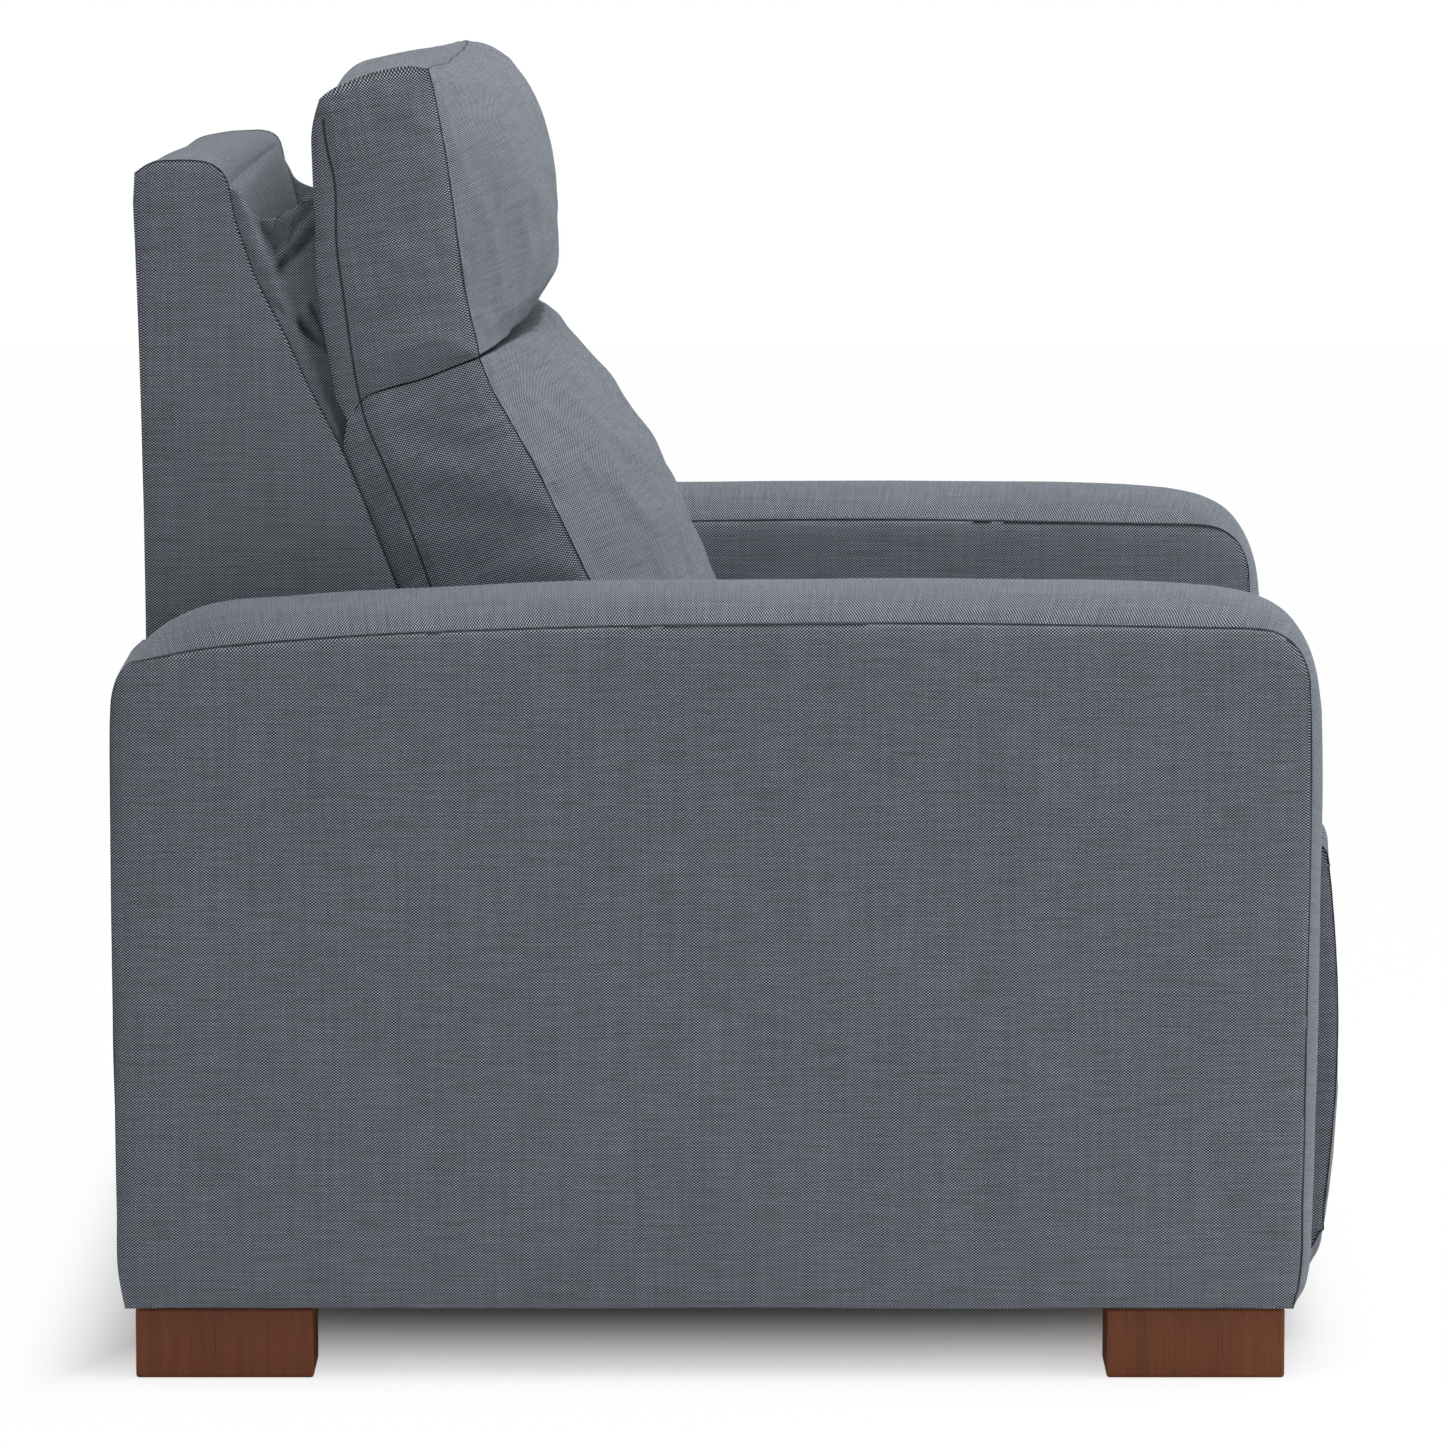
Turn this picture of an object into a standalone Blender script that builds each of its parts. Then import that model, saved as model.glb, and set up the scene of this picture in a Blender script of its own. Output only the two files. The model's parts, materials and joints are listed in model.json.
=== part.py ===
"""Power recliner with a power headrest, as an assembly of its separate pieces.

Metres, +Z up. X runs across the chair, and the sitter faces -Y. The origin is on the
floor, in the middle of the width and of the depth. Profiles are drawn as (y, z) points
in the chair's drawing frame, whose zero lies DEPTH_SHIFT behind that origin's zero.
"""

import math

import bmesh
import bpy
from mathutils.geometry import tessellate_polygon

# Fits and stock
GAP = 0.0003
RUN = 0.0005
FREE = 0.003
STEEL = 0.004
PLY = 0.012
BOARD = 0.020

# Overall sizes
SEAT_OPENING = 0.610
ARM_WIDTH = 0.140
ARM_TOP_SEAM = 0.620
ARM_CROWN = 0.028
ARM_FRONT_CROWN = 0.015
ARM_SIDE_CROWN = 0.004
ARM_REAR = 0.508
ARM_FRONT_SEAM = -0.460
ARM_CORNER_RADIUS = 0.038
ARM_REAR_DROP = 0.030
ARM_WALL = 0.0128
ARM_FOAM_TOP = 0.040
ARM_UNDERSIDE = 0.060
ARM_PEAK_AT = -0.100
ARM_REAR_TUCK = 0.010
ARM_REAR_ROUND = 0.018
ARM_FRONT_TUCK = 0.010
ARM_FRONT_DROP = 0.005
ARM_TAPER = 0.060
ARM_FRONT_TAPER = 0.100
ARM_FOAM_FRONT = 0.023
ARM_FOAM_REAR = 0.021
ARM_POST = 0.030
ARM_SLOT_LENGTH = 0.400
ARM_SLOT_WIDTH = 0.059
FOOT_HEIGHT = 0.058
FOOT_LENGTH = 0.145
FOOT_WIDTH = 0.075
FOOT_INSET = 0.012
FOOT_END_INSET = 0.016
FOOT_EASE = 0.0025

# Back: a wedge whose front edge leans, with a headrest hinged near the top of the cushion
BACK_PLAY = 0.008
BACK_LEAN = math.radians(22.0)
BACK_LINE_AT = (0.280, 0.631)
BACK_REAR = 0.487
BACK_TOP = 0.983
BACK_BOTTOM = 0.320
BACK_FRONT_BOTTOM = 0.400
BACK_WALL = 0.0135
BACK_CORNER_RADIUS = 0.016
BACK_REAR_CROWN = 0.006
BACK_TOP_PADDING = 0.026
BACK_FRAME_INSET = 0.004
SHELF_AT = 0.430
SHELF = 0.018
SHELF_FRONT = 0.245
TOP_RAIL_AT = 0.915
TOP_RAIL_HEIGHT = 0.035
WEBBING_LOW = 0.480
WEBBING_HIGH = 0.712
BRACKET_REACH = (0.110, 0.095)
BRACKET_HALF_WIDTH = 0.020
LUMBAR_BOTTOM = 0.486
LUMBAR_SIDE_DEPTH = 0.165
LUMBAR_DEPTH = 0.2514
LUMBAR_REAR_GAP = 0.0008
RECLINE_AXIS = (0.190, 0.370)
RECLINE_ANGLE = math.radians(35.0)
GLIDE_TRAVEL = 0.140
HEADREST_AXIS = (0.327, 0.745)
HEADREST_LEAN = math.radians(5.5)
HEADREST_TOP = 1.063
HEADREST_BOARD_TOP = 1.005
HEADREST_BOTTOM = 0.014
HEADREST_SIDE_DEPTH = 0.111
HEADREST_DEPTH = 0.190
HEADREST_POST_AT = 0.200
HEADREST_POST = 0.006
HEADREST_BOARD_DROP = 0.030
HEADREST_BOARD_HALF = 0.280
HEADREST_WADDING = 0.009
HEADREST_LEVER = 0.060
HEADREST_LEVER_HALF = 0.010
CREASE_REAR = (0.307, 0.7875)
CREASE_FRONT = (0.213, 0.8200)
CREASE_GAP = 0.0015
CREASE_SAG = 0.004
CREASE_ROLL = 0.006
CREASE_REACH = 0.0165

# Seat
SEAT_TOP = 0.497
SEAT_CROWN = 0.020
SEAT_BASE = 0.364
SEAT_FRONT = -0.486
SEAT_REAR = 0.140
NOSE_THICKNESS = 0.021
NOSE_OVERHANG = 0.062
NOSE_GAP = 0.012
SIDE_SHOW = 0.0015
DECK = 0.005
SEAT_RAIL_BOTTOM = 0.300
SEAT_RAIL = 0.020
SEAT_RAIL_REAR = 0.125
FRONT_RAIL_BOTTOM = 0.325

# Footrest
PAD_CROWN_AT = -0.518
PAD_BOTTOM = 0.052
PAD_CROWN = 0.040
PAD_REAR = -0.4458
PAD_CORNER = 0.004
PAD_EDGE = 0.006
FOOT_BOARD_HALF = 0.285
FOOT_BOARD_MARGIN = 0.023

# Legrest linkage: angles are from straight down, swinging towards the front
DRIVE_AXIS = (-0.345, 0.302)
TUBE_RADIUS = 0.011
REAR_LINK = 0.135
REAR_LINK_ANGLES = (math.radians(-10.0), math.radians(80.0))
FRONT_LINK = 0.155
FRONT_LINK_ANGLES = (math.radians(155.0), math.radians(105.0))
FRONT_LINK_TAIL = 0.030
GUIDE_SIDE = 0.100
LINK_HALF_WIDTH = 0.0115
DRIVE_ARM_HALF_WIDTH = 0.0175
BRACKET_DROP = 0.110
GUIDE_HALF_WIDTH = 0.0100
PIN_RADIUS = 0.0054
PIN_HOLE = 0.0060
RECLINE_PIN = 0.0080
CRANK_START = math.radians(-45.0)
CRANK_PIN_DROP = 0.038
CRANK_PACE = 1.19
CRANK_HALF_WIDTH = 0.011
LEVER_PIN_DROP = 0.096
LEVER_PACE = 1.10
DRIVE_PIN_RADIUS = 0.0035
BEARING_RADIUS = 0.0115
HINGE_BAR_RADIUS = 0.0070

# Mechanism base and drives
CHANNEL_BOTTOM = 0.1003
CHANNEL_HEIGHT = 0.0397
CHANNEL_SHEET = 0.003
CHANNEL_FRONT = -0.420
CROSS_TUBE_AT = (-0.100, 0.205)
RAIL_DEPTH = 0.045
REAR_RAIL_DEPTH = 0.055
PLATE_FRONT = -0.372
PLATE_EAR = 0.022
STRIP_FRONT = -0.270
STRIP_REAR = 0.130
CONTROL_BOX = (0.160, 0.032)
CONTROL_BOX_AT = 0.020
GEARBOX_LENGTH = 0.089
GEARBOX_HALF_WIDTH = 0.030
GEARBOX_HALF_HEIGHT = 0.032
MOTOR_AT = 0.045
MOTOR_RADIUS = 0.024
MOTOR_LENGTH = 0.065
LEGREST_RAIL_END = -0.410
RECLINE_RAIL_END = 0.225
CHEEK = 0.006
CHEEK_HALF = 0.012
DRIVE_X = 0.120
DRIVE_RAIL_HALF = 0.010
DRIVE_RAIL_DEPTH = 0.024
NUT_LENGTH = 0.040
NUT_WALL = 0.010
REAR_PANEL_FRONT = 0.4885
REAR_PANEL = 0.017
REAR_PANEL_TOP = 0.345

# Controls on the inner face of the sitter's right arm, and the power inlet
PANEL_AT = (-0.295, 0.565)
PANEL_SIZE = (0.128, 0.034)
PANEL_LIP = 0.003
PANEL_DEPTH = 0.0115
BUTTON = 0.020
BUTTON_PITCH = 0.027
BUTTON_FLOOR = 0.0055
BUTTON_PROUD = 0.002
BUTTON_TRAVEL = 0.0015
INLET_AT = (0.180, 0.120)
INLET_BODY = (0.024, 0.018)
INLET_SOCKET = (0.014, 0.008)
INLET_LIP = 0.003

# Worked out from the sizes above
ARM_IN = SEAT_OPENING / 2
ARM_OUT = ARM_IN + ARM_WIDTH
BACK_HALF = ARM_IN - BACK_PLAY
FRAME_OUT = BACK_HALF - BACK_WALL - GAP
FRAME_IN = FRAME_OUT - PLY
BRACKET_OUT = FRAME_IN - GAP
BRACKET_IN = BRACKET_OUT - STEEL
PLATE_OUT = BRACKET_IN - RUN
PLATE_IN = PLATE_OUT - STEEL
REAR_LINK_OUT = PLATE_IN - RUN
REAR_LINK_IN = REAR_LINK_OUT - STEEL
FRONT_LINK_OUT = REAR_LINK_IN - RUN
FRONT_LINK_IN = FRONT_LINK_OUT - STEEL
GUIDE_OUT = FRONT_LINK_IN - RUN
GUIDE_IN = GUIDE_OUT - STEEL
DEPTH_SHIFT = -(PAD_CROWN_AT + ARM_REAR) / 2
SEAT_HALF = BACK_HALF
SEAT_EDGE_TOP = SEAT_TOP - SEAT_CROWN
NOSE_UNDERSIDE = SEAT_EDGE_TOP - NOSE_THICKNESS
NOSE_STEP = SEAT_FRONT + NOSE_OVERHANG
SEAT_FRAME_TOP = SEAT_BASE - DECK - 2 * GAP
SEAT_FRAME_FRONT = NOSE_STEP + 0.0022
PAD_TOP = NOSE_UNDERSIDE - NOSE_GAP
PAD_MIDDLE = (PAD_TOP + PAD_BOTTOM) / 2
PAD_HALF_HEIGHT = (PAD_TOP - PAD_BOTTOM) / 2
HEADREST_DRIVE = (0.070, 0.044, 0.082)
SLEEVE_RADIUS = 0.013
SLEEVE_TOP = HEADREST_AXIS[1] - 0.055
ROD_RADIUS = 0.0055
ROD_CAP = 0.009

ROUND = 16
SMALL_ROUND = 14

COLOURS = {
    "slate_tweed": ((0.105, 0.125, 0.150), 0.95, 0.0),
    "walnut": ((0.130, 0.048, 0.026), 0.45, 0.0),
    "plywood": ((0.520, 0.380, 0.220), 0.70, 0.0),
    "zinc_steel": ((0.560, 0.570, 0.580), 0.38, 1.0),
    "black_steel": ((0.020, 0.020, 0.022), 0.45, 0.6),
    "black_plastic": ((0.018, 0.018, 0.020), 0.40, 0.0),
    "webbing": ((0.060, 0.055, 0.050), 0.90, 0.0),
}


def clear_scene():
    for thing in list(bpy.data.objects):
        bpy.data.objects.remove(thing, do_unlink=True)


def material_of(colour_name):
    """One Principled material for each object, in one of the chair's finishes."""
    colour, roughness, metallic = COLOURS[colour_name]
    material = bpy.data.materials.new(colour_name)
    material.use_nodes = True
    shader = material.node_tree.nodes["Principled BSDF"]
    shader.inputs["Base Color"].default_value = (*colour, 1.0)
    shader.inputs["Roughness"].default_value = roughness
    shader.inputs["Metallic"].default_value = metallic
    return material


def make_axis(name, point, parent=None):
    """An empty on a joint's axis, given as a (y, z) point of the drawing or as (x, y, z)."""
    axis = bpy.data.objects.new(name, None)
    bpy.context.scene.collection.objects.link(axis)
    place = point if len(point) == 3 else (0.0, *point)
    axis.location = (place[0], place[1] + DEPTH_SHIFT, place[2])
    axis.empty_display_size = 0.03
    if parent is not None:
        axis.parent = parent
        axis.location = axis.location - parent.matrix_world.translation
    bpy.context.view_layer.update()
    return axis


def finish(name, mesh_builder, colour, axis=None):
    """Turns a bmesh drawn in the drawing frame into a named object that rides on an axis."""
    bmesh.ops.recalc_face_normals(mesh_builder, faces=mesh_builder.faces)
    mesh = bpy.data.meshes.new(name)
    mesh_builder.to_mesh(mesh)
    mesh_builder.free()
    thing = bpy.data.objects.new(name, mesh)
    bpy.context.scene.collection.objects.link(thing)
    mesh.materials.append(material_of(colour))
    place = (0.0, DEPTH_SHIFT, 0.0)
    if axis is not None:
        thing.parent = axis
        place = tuple(p - q for p, q in zip(place, axis.matrix_world.translation))
    thing.location = place
    return thing


def tool(name, mesh_builder):
    """A helper solid for a Boolean, kept out of renders."""
    helper = finish(name, mesh_builder, "plywood")
    helper.hide_render = True
    helper.display_type = "WIRE"
    return helper


def boolean(thing, helper, operation):
    step = thing.modifiers.new(helper.name, "BOOLEAN")
    step.operation = operation
    step.object = helper
    step.solver = "EXACT"


def cut(thing, helper):
    boolean(thing, helper, "DIFFERENCE")


def weld_on(thing, helper):
    boolean(thing, helper, "UNION")


def ease(thing, width, segments=2):
    step = thing.modifiers.new("eased edges", "BEVEL")
    step.width = width
    step.segments = segments
    step.limit_method = "ANGLE"


def smooth(thing, degrees=40.0):
    thing.data.shade_smooth()
    thing.data.set_sharp_from_angle(angle=math.radians(degrees))


def box_mesh(x_span, y_span, z_span):
    mesh_builder = bmesh.new()
    corners = [
        mesh_builder.verts.new((x, y, z)) for x in x_span for y in y_span for z in z_span
    ]
    for face in ((0, 1, 3, 2), (4, 6, 7, 5), (0, 4, 5, 1), (2, 3, 7, 6), (0, 2, 6, 4), (1, 5, 7, 3)):
        mesh_builder.faces.new([corners[i] for i in face])
    return mesh_builder


def box(name, x_span, y_span, z_span, colour, axis=None):
    return finish(name, box_mesh(x_span, y_span, z_span), colour, axis)


def circle(centre, radius, count=ROUND):
    return [
        (
            centre[0] + radius * math.cos(2 * math.pi * i / count),
            centre[1] + radius * math.sin(2 * math.pi * i / count),
        )
        for i in range(count)
    ]


def capsule(start, end, radius, count=7):
    """The outline of a bar with round ends between two (y, z) points."""
    heading = math.atan2(end[1] - start[1], end[0] - start[0])
    points = []
    for centre, turn in ((end, -math.pi / 2), (start, math.pi / 2)):
        for i in range(count):
            angle = heading + turn + math.pi * i / (count - 1)
            points.append((centre[0] + radius * math.cos(angle), centre[1] + radius * math.sin(angle)))
    return points


def plate_mesh(outline, x_span, holes=(), place=lambda x, p: (x, p[0], p[1])):
    """A flat sheet with holes: an outline in one plane, given a thickness across it."""
    loops = [list(outline), *[list(hole) for hole in holes]]
    flat = [[(p[0], p[1], 0.0) for p in loop] for loop in loops]
    triangles = tessellate_polygon(flat)
    mesh_builder = bmesh.new()
    sides = []
    for x in x_span:
        sides.append([mesh_builder.verts.new(place(x, p)) for loop in loops for p in loop])
    for triangle in triangles:
        mesh_builder.faces.new([sides[0][i] for i in triangle])
        mesh_builder.faces.new([sides[1][i] for i in reversed(triangle)])
    first = 0
    for loop in loops:
        count = len(loop)
        for i in range(count):
            a = first + i
            b = first + (i + 1) % count
            mesh_builder.faces.new([sides[0][a], sides[0][b], sides[1][b], sides[1][a]])
        first += count
    return mesh_builder


def plate(name, outline, x_span, colour, axis=None, holes=()):
    return finish(name, plate_mesh(outline, x_span, holes), colour, axis)


def rod_mesh(centre, radius, x_span, count=ROUND):
    return plate_mesh(circle(centre, radius, count), x_span)


def upright_rod_mesh(centre, radius, z_span, count=ROUND):
    """A round bar along Z, centred at (x, y)."""
    return plate_mesh(circle(centre, radius, count), z_span, place=lambda z, p: (p[0], p[1], z))


def loft_mesh(rings):
    """A closed skin over rings of the same number of points, with a flat face at each end."""
    mesh_builder = bmesh.new()
    rows = [[mesh_builder.verts.new(p) for p in ring] for ring in rings]
    for low, high in zip(rows, rows[1:]):
        for i in range(len(low)):
            j = (i + 1) % len(low)
            mesh_builder.faces.new([low[i], low[j], high[j], high[i]])
    mesh_builder.faces.new(rows[0])
    mesh_builder.faces.new(list(reversed(rows[-1])))
    return mesh_builder


def mix(a, b, share):
    return tuple(p + (q - p) * share for p, q in zip(a, b))


def pillow(across, power=2.6):
    """How far a crown has risen at a place from 0 to 1 across a cushion."""
    return 1.0 - abs(2.0 * across - 1.0) ** power


def crowned(name, edge, middle, half, colour, axis=None, steps=(0.0, 0.03, 0.10, 0.25, 0.5), power=2.6):
    """A cushion across X, from its seam outline at each side to its crowned outline."""
    shares = [*steps, *[1.0 - s for s in reversed(steps[:-1])]]
    rings = []
    for share in shares:
        x = -half + 2.0 * half * share
        rise = pillow(share, power)
        rings.append([(x, *mix(p, q, rise)) for p, q in zip(edge, middle)])
    thing = finish(name, loft_mesh(rings), colour, axis)
    smooth(thing)
    return thing


def slot_outline(path, radius, count=5):
    """The outline of a slot of constant width whose middle follows a path of (y, z) points."""
    left, right = [], []
    for i, point in enumerate(path):
        before = path[max(0, i - 1)]
        after = path[min(len(path) - 1, i + 1)]
        reach = math.hypot(after[0] - before[0], after[1] - before[1])
        across = ((after[1] - before[1]) / reach * radius, (before[0] - after[0]) / reach * radius)
        left.append((point[0] - across[0], point[1] - across[1]))
        right.append((point[0] + across[0], point[1] + across[1]))
    outline = [*right]
    for centre, rim in ((path[-1], right[-1]), (path[0], left[0])):
        start = math.atan2(rim[1] - centre[1], rim[0] - centre[0])
        for i in range(1, count):
            angle = start + math.pi * i / count
            outline.append((centre[0] + radius * math.cos(angle), centre[1] + radius * math.sin(angle)))
        if centre is path[-1]:
            outline += list(reversed(left))
    return outline


def lever_slot():
    """The recline lever's slot: where its drive's pin lies in the lever as the back goes down."""
    path = []
    for i in range(6):
        angle = RECLINE_ANGLE * i / 5
        ahead = LEVER_PACE * angle
        path.append(
            (
                RECLINE_AXIS[0] + LEVER_PIN_DROP * (math.sin(angle) - ahead * math.cos(angle)),
                RECLINE_AXIS[1] - LEVER_PIN_DROP * (math.cos(angle) + ahead * math.sin(angle)),
            )
        )
    return slot_outline(path, DRIVE_PIN_RADIUS + RUN)


def swing(start, length, angle):
    """The far end of a link that hangs at an angle from straight down, towards the front."""
    return (start[0] - length * math.sin(angle), start[1] - length * math.cos(angle))


def back_line(z):
    """The leaning front edge of the outer back."""
    return BACK_LINE_AT[0] + math.tan(BACK_LEAN) * (z - BACK_LINE_AT[1])


def headrest_line(z):
    """The rear face of the headrest."""
    return HEADREST_AXIS[0] + math.tan(HEADREST_LEAN) * (z - HEADREST_AXIS[1] - 0.010)


def mirrored(side, low, high):
    """A span in X on the sitter's right (-1) or left (+1)."""
    return (side * low, side * high)


SIDES = (("right", -1), ("left", 1))


def arm_height(share):
    return ARM_UNDERSIDE + share * (ARM_TOP_SEAM - ARM_UNDERSIDE)


def arm_outline(rise):
    """The arm from the side. At rise 0 it is the seam and at rise 1 the crown between the seams."""
    top_rear = ARM_REAR - ARM_REAR_ROUND
    points = [
        (ARM_REAR - ARM_REAR_TUCK, ARM_UNDERSIDE),
        (ARM_REAR - 0.3 * ARM_REAR_TUCK, arm_height(0.11)),
        (ARM_REAR, arm_height(0.43)),
        (ARM_REAR, arm_height(0.79)),
        (ARM_REAR - 0.3 * ARM_REAR_TUCK, arm_height(0.89)),
        (top_rear, ARM_TOP_SEAM - ARM_REAR_DROP + rise * 0.14 * ARM_CROWN),
    ]
    corner_y = ARM_FRONT_SEAM + 0.2 * ARM_FRONT_TUCK + ARM_CORNER_RADIUS
    last = top_rear - ARM_REAR_ROUND
    count = 9
    for i in range(count):
        y = last + (corner_y - last) * i / (count - 1)
        fall = ARM_REAR_DROP * max(0.0, (y - ARM_PEAK_AT) / (top_rear - ARM_PEAK_AT)) ** 2.2
        fall += ARM_FRONT_DROP * max(0.0, (ARM_PEAK_AT - y) / (ARM_PEAK_AT - corner_y)) ** 2
        tight = min(1.0, 0.45 + (top_rear - y) / ARM_TAPER)
        tight *= min(1.0, 0.45 + (y - corner_y) / ARM_FRONT_TAPER)
        points.append((y, ARM_TOP_SEAM - fall + rise * ARM_CROWN * tight))
    corner_z = ARM_TOP_SEAM - ARM_FRONT_DROP - ARM_CORNER_RADIUS
    for i in range(1, 4):
        angle = math.radians(90.0 + 30.0 * i)
        reach = ARM_CORNER_RADIUS + rise * ARM_CROWN * 0.22
        points.append((corner_y + reach * math.cos(angle), corner_z + reach * math.sin(angle)))
    front = ((0.855, 0.1, 0.9), (0.66, 0.0, 1.0), (0.375, 0.2, 1.0), (0.125, 0.6, 0.8), (0.0, 1.0, 0.3))
    for height, tuck, crown in front:
        y = ARM_FRONT_SEAM + tuck * ARM_FRONT_TUCK - rise * ARM_FRONT_CROWN * crown
        points.append((y, arm_height(height)))
    return points


def make_arms(base):
    """Each arm: an upholstered cover over a plywood box frame, on two wooden feet."""
    for side_name, side in SIDES:
        shares = (0.0, 0.07, 0.20, 0.50, 0.80, 0.93, 1.0)
        seam_width = ARM_WIDTH - ARM_SIDE_CROWN
        centre = ((ARM_REAR + ARM_FRONT_SEAM) / 2, arm_height(0.5))
        rings = []
        for share in shares:
            x = side * (ARM_IN + seam_width * share)
            rings.append([(x, *point) for point in arm_outline(pillow(share))])
        rings.append([(side * ARM_OUT, *mix(centre, point, 0.82)) for point in arm_outline(0.0)])
        cover = finish("arm_cover_" + side_name, loft_mesh(rings), "slate_tweed", base)
        smooth(cover)
        hollow_x = (ARM_IN + ARM_WALL, ARM_OUT - ARM_WALL)
        hollow_y = (ARM_FRONT_SEAM + ARM_FOAM_FRONT, ARM_REAR - ARM_FOAM_REAR)
        hollow_top = ARM_TOP_SEAM - ARM_FOAM_TOP
        hollow = box_mesh(mirrored(side, *hollow_x), hollow_y, (0.0, hollow_top))
        cut(cover, tool("arm_hollow_" + side_name, hollow))

        frame_x = (hollow_x[0] + RUN, hollow_x[1] - RUN)
        frame_y = (hollow_y[0] + RUN, hollow_y[1] - RUN)
        frame_z = (FOOT_HEIGHT + GAP, hollow_top - RUN)
        span = mirrored(side, *frame_x)
        frame = box("arm_frame_" + side_name, span, frame_y, frame_z, "plywood", base)
        bay_x = (frame_x[0] + PLY, frame_x[1] - PLY)
        bay_y = (frame_y[0] + ARM_POST, frame_y[1] - ARM_POST)
        bay = box_mesh(mirrored(side, *bay_x), bay_y, (frame_z[0] + BOARD, frame_z[1] - BOARD))
        cut(frame, tool("arm_bay_" + side_name, bay))
        middle_x, middle_y = sum(bay_x) / 2, sum(bay_y) / 2
        slot = box_mesh(
            mirrored(side, middle_x - ARM_SLOT_WIDTH / 2, middle_x + ARM_SLOT_WIDTH / 2),
            (middle_y - ARM_SLOT_LENGTH / 2, middle_y + ARM_SLOT_LENGTH / 2),
            (0.0, frame_z[0] + 2 * BOARD),
        )
        cut(frame, tool("arm_slot_" + side_name, slot))

        outer = ARM_OUT - FOOT_INSET
        fronts = (ARM_FRONT_SEAM + FOOT_END_INSET, ARM_REAR - FOOT_END_INSET - FOOT_LENGTH)
        for place, start in zip(("front", "rear"), fronts):
            foot = box(
                f"foot_{place}_{side_name}",
                mirrored(side, outer - FOOT_WIDTH, outer),
                (start, start + FOOT_LENGTH),
                (0.0, FOOT_HEIGHT),
                "walnut",
                base,
            )
            ease(foot, FOOT_EASE)


def make_base(base):
    """Cross members between the arms, the glide channels, the rear panel and the electrics."""
    width = (-ARM_IN + GAP, ARM_IN - GAP)
    rail_z = (FOOT_HEIGHT + GAP, CHANNEL_BOTTOM - GAP)
    front_rail_y = (CHANNEL_FRONT, CHANNEL_FRONT + RAIL_DEPTH)
    rear_end = REAR_PANEL_FRONT - GAP
    rear_rail_y = (rear_end - REAR_RAIL_DEPTH, rear_end)
    panel_rear = REAR_PANEL_FRONT + REAR_PANEL
    panel_y = (REAR_PANEL_FRONT, panel_rear)
    panel_z = (FOOT_HEIGHT + GAP, REAR_PANEL_TOP)
    box("front_cross_rail", width, front_rail_y, rail_z, "plywood", base)
    box("rear_cross_rail", width, rear_rail_y, rail_z, "plywood", base)
    rear_panel = box("rear_panel", width, panel_y, panel_z, "slate_tweed", base)
    ease(rear_panel, 0.2 * REAR_PANEL)

    channel_top = CHANNEL_BOTTOM + CHANNEL_HEIGHT
    for side_name, side in SIDES:
        web = ARM_IN - GAP
        inner = PLATE_OUT + RUN
        lip = (inner + web) / 2
        sheet = CHANNEL_SHEET
        section = [
            (side * inner, CHANNEL_BOTTOM),
            (side * web, CHANNEL_BOTTOM),
            (side * web, channel_top),
            (side * lip, channel_top),
            (side * lip, channel_top - sheet),
            (side * (web - sheet), channel_top - sheet),
            (side * (web - sheet), CHANNEL_BOTTOM + sheet),
            (side * inner, CHANNEL_BOTTOM + sheet),
        ]
        mesh = plate_mesh(section, (CHANNEL_FRONT, rear_end), place=lambda y, p: (p[0], y, p[1]))
        finish("glide_channel_" + side_name, mesh, "zinc_steel", base)

    length, height = CONTROL_BOX
    box_x = (CONTROL_BOX_AT - length / 2, CONTROL_BOX_AT + length / 2)
    box_z = (CHANNEL_BOTTOM, CHANNEL_BOTTOM + height)
    box("control_box", box_x, rear_rail_y, box_z, "black_plastic", base)

    x, z = INLET_AT
    half_x, half_z = INLET_BODY[0] / 2, INLET_BODY[1] / 2

    def around(margin, y_span):
        x_span = (x - half_x - margin, x + half_x + margin)
        return box_mesh(x_span, y_span, (z - half_z - margin, z + half_z + margin))

    through = (REAR_PANEL_FRONT - REAR_PANEL, panel_rear + REAR_PANEL)
    cut(rear_panel, tool("inlet_cutout", around(GAP, through)))
    body_y = (REAR_PANEL_FRONT - REAR_PANEL / 2, panel_rear + 2 * GAP)
    inlet = finish("power_inlet", around(0.0, body_y), "black_plastic", base)
    weld_on(inlet, tool("inlet_lip", around(INLET_LIP, (panel_rear + GAP, panel_rear + GAP + 0.0019))))
    socket = box_mesh(
        (x - INLET_SOCKET[0] / 2, x + INLET_SOCKET[0] / 2),
        (panel_rear - 0.8 * REAR_PANEL, panel_rear + REAR_PANEL),
        (z - INLET_SOCKET[1] / 2, z + INLET_SOCKET[1] / 2),
    )
    cut(inlet, tool("inlet_socket", socket))


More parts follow.
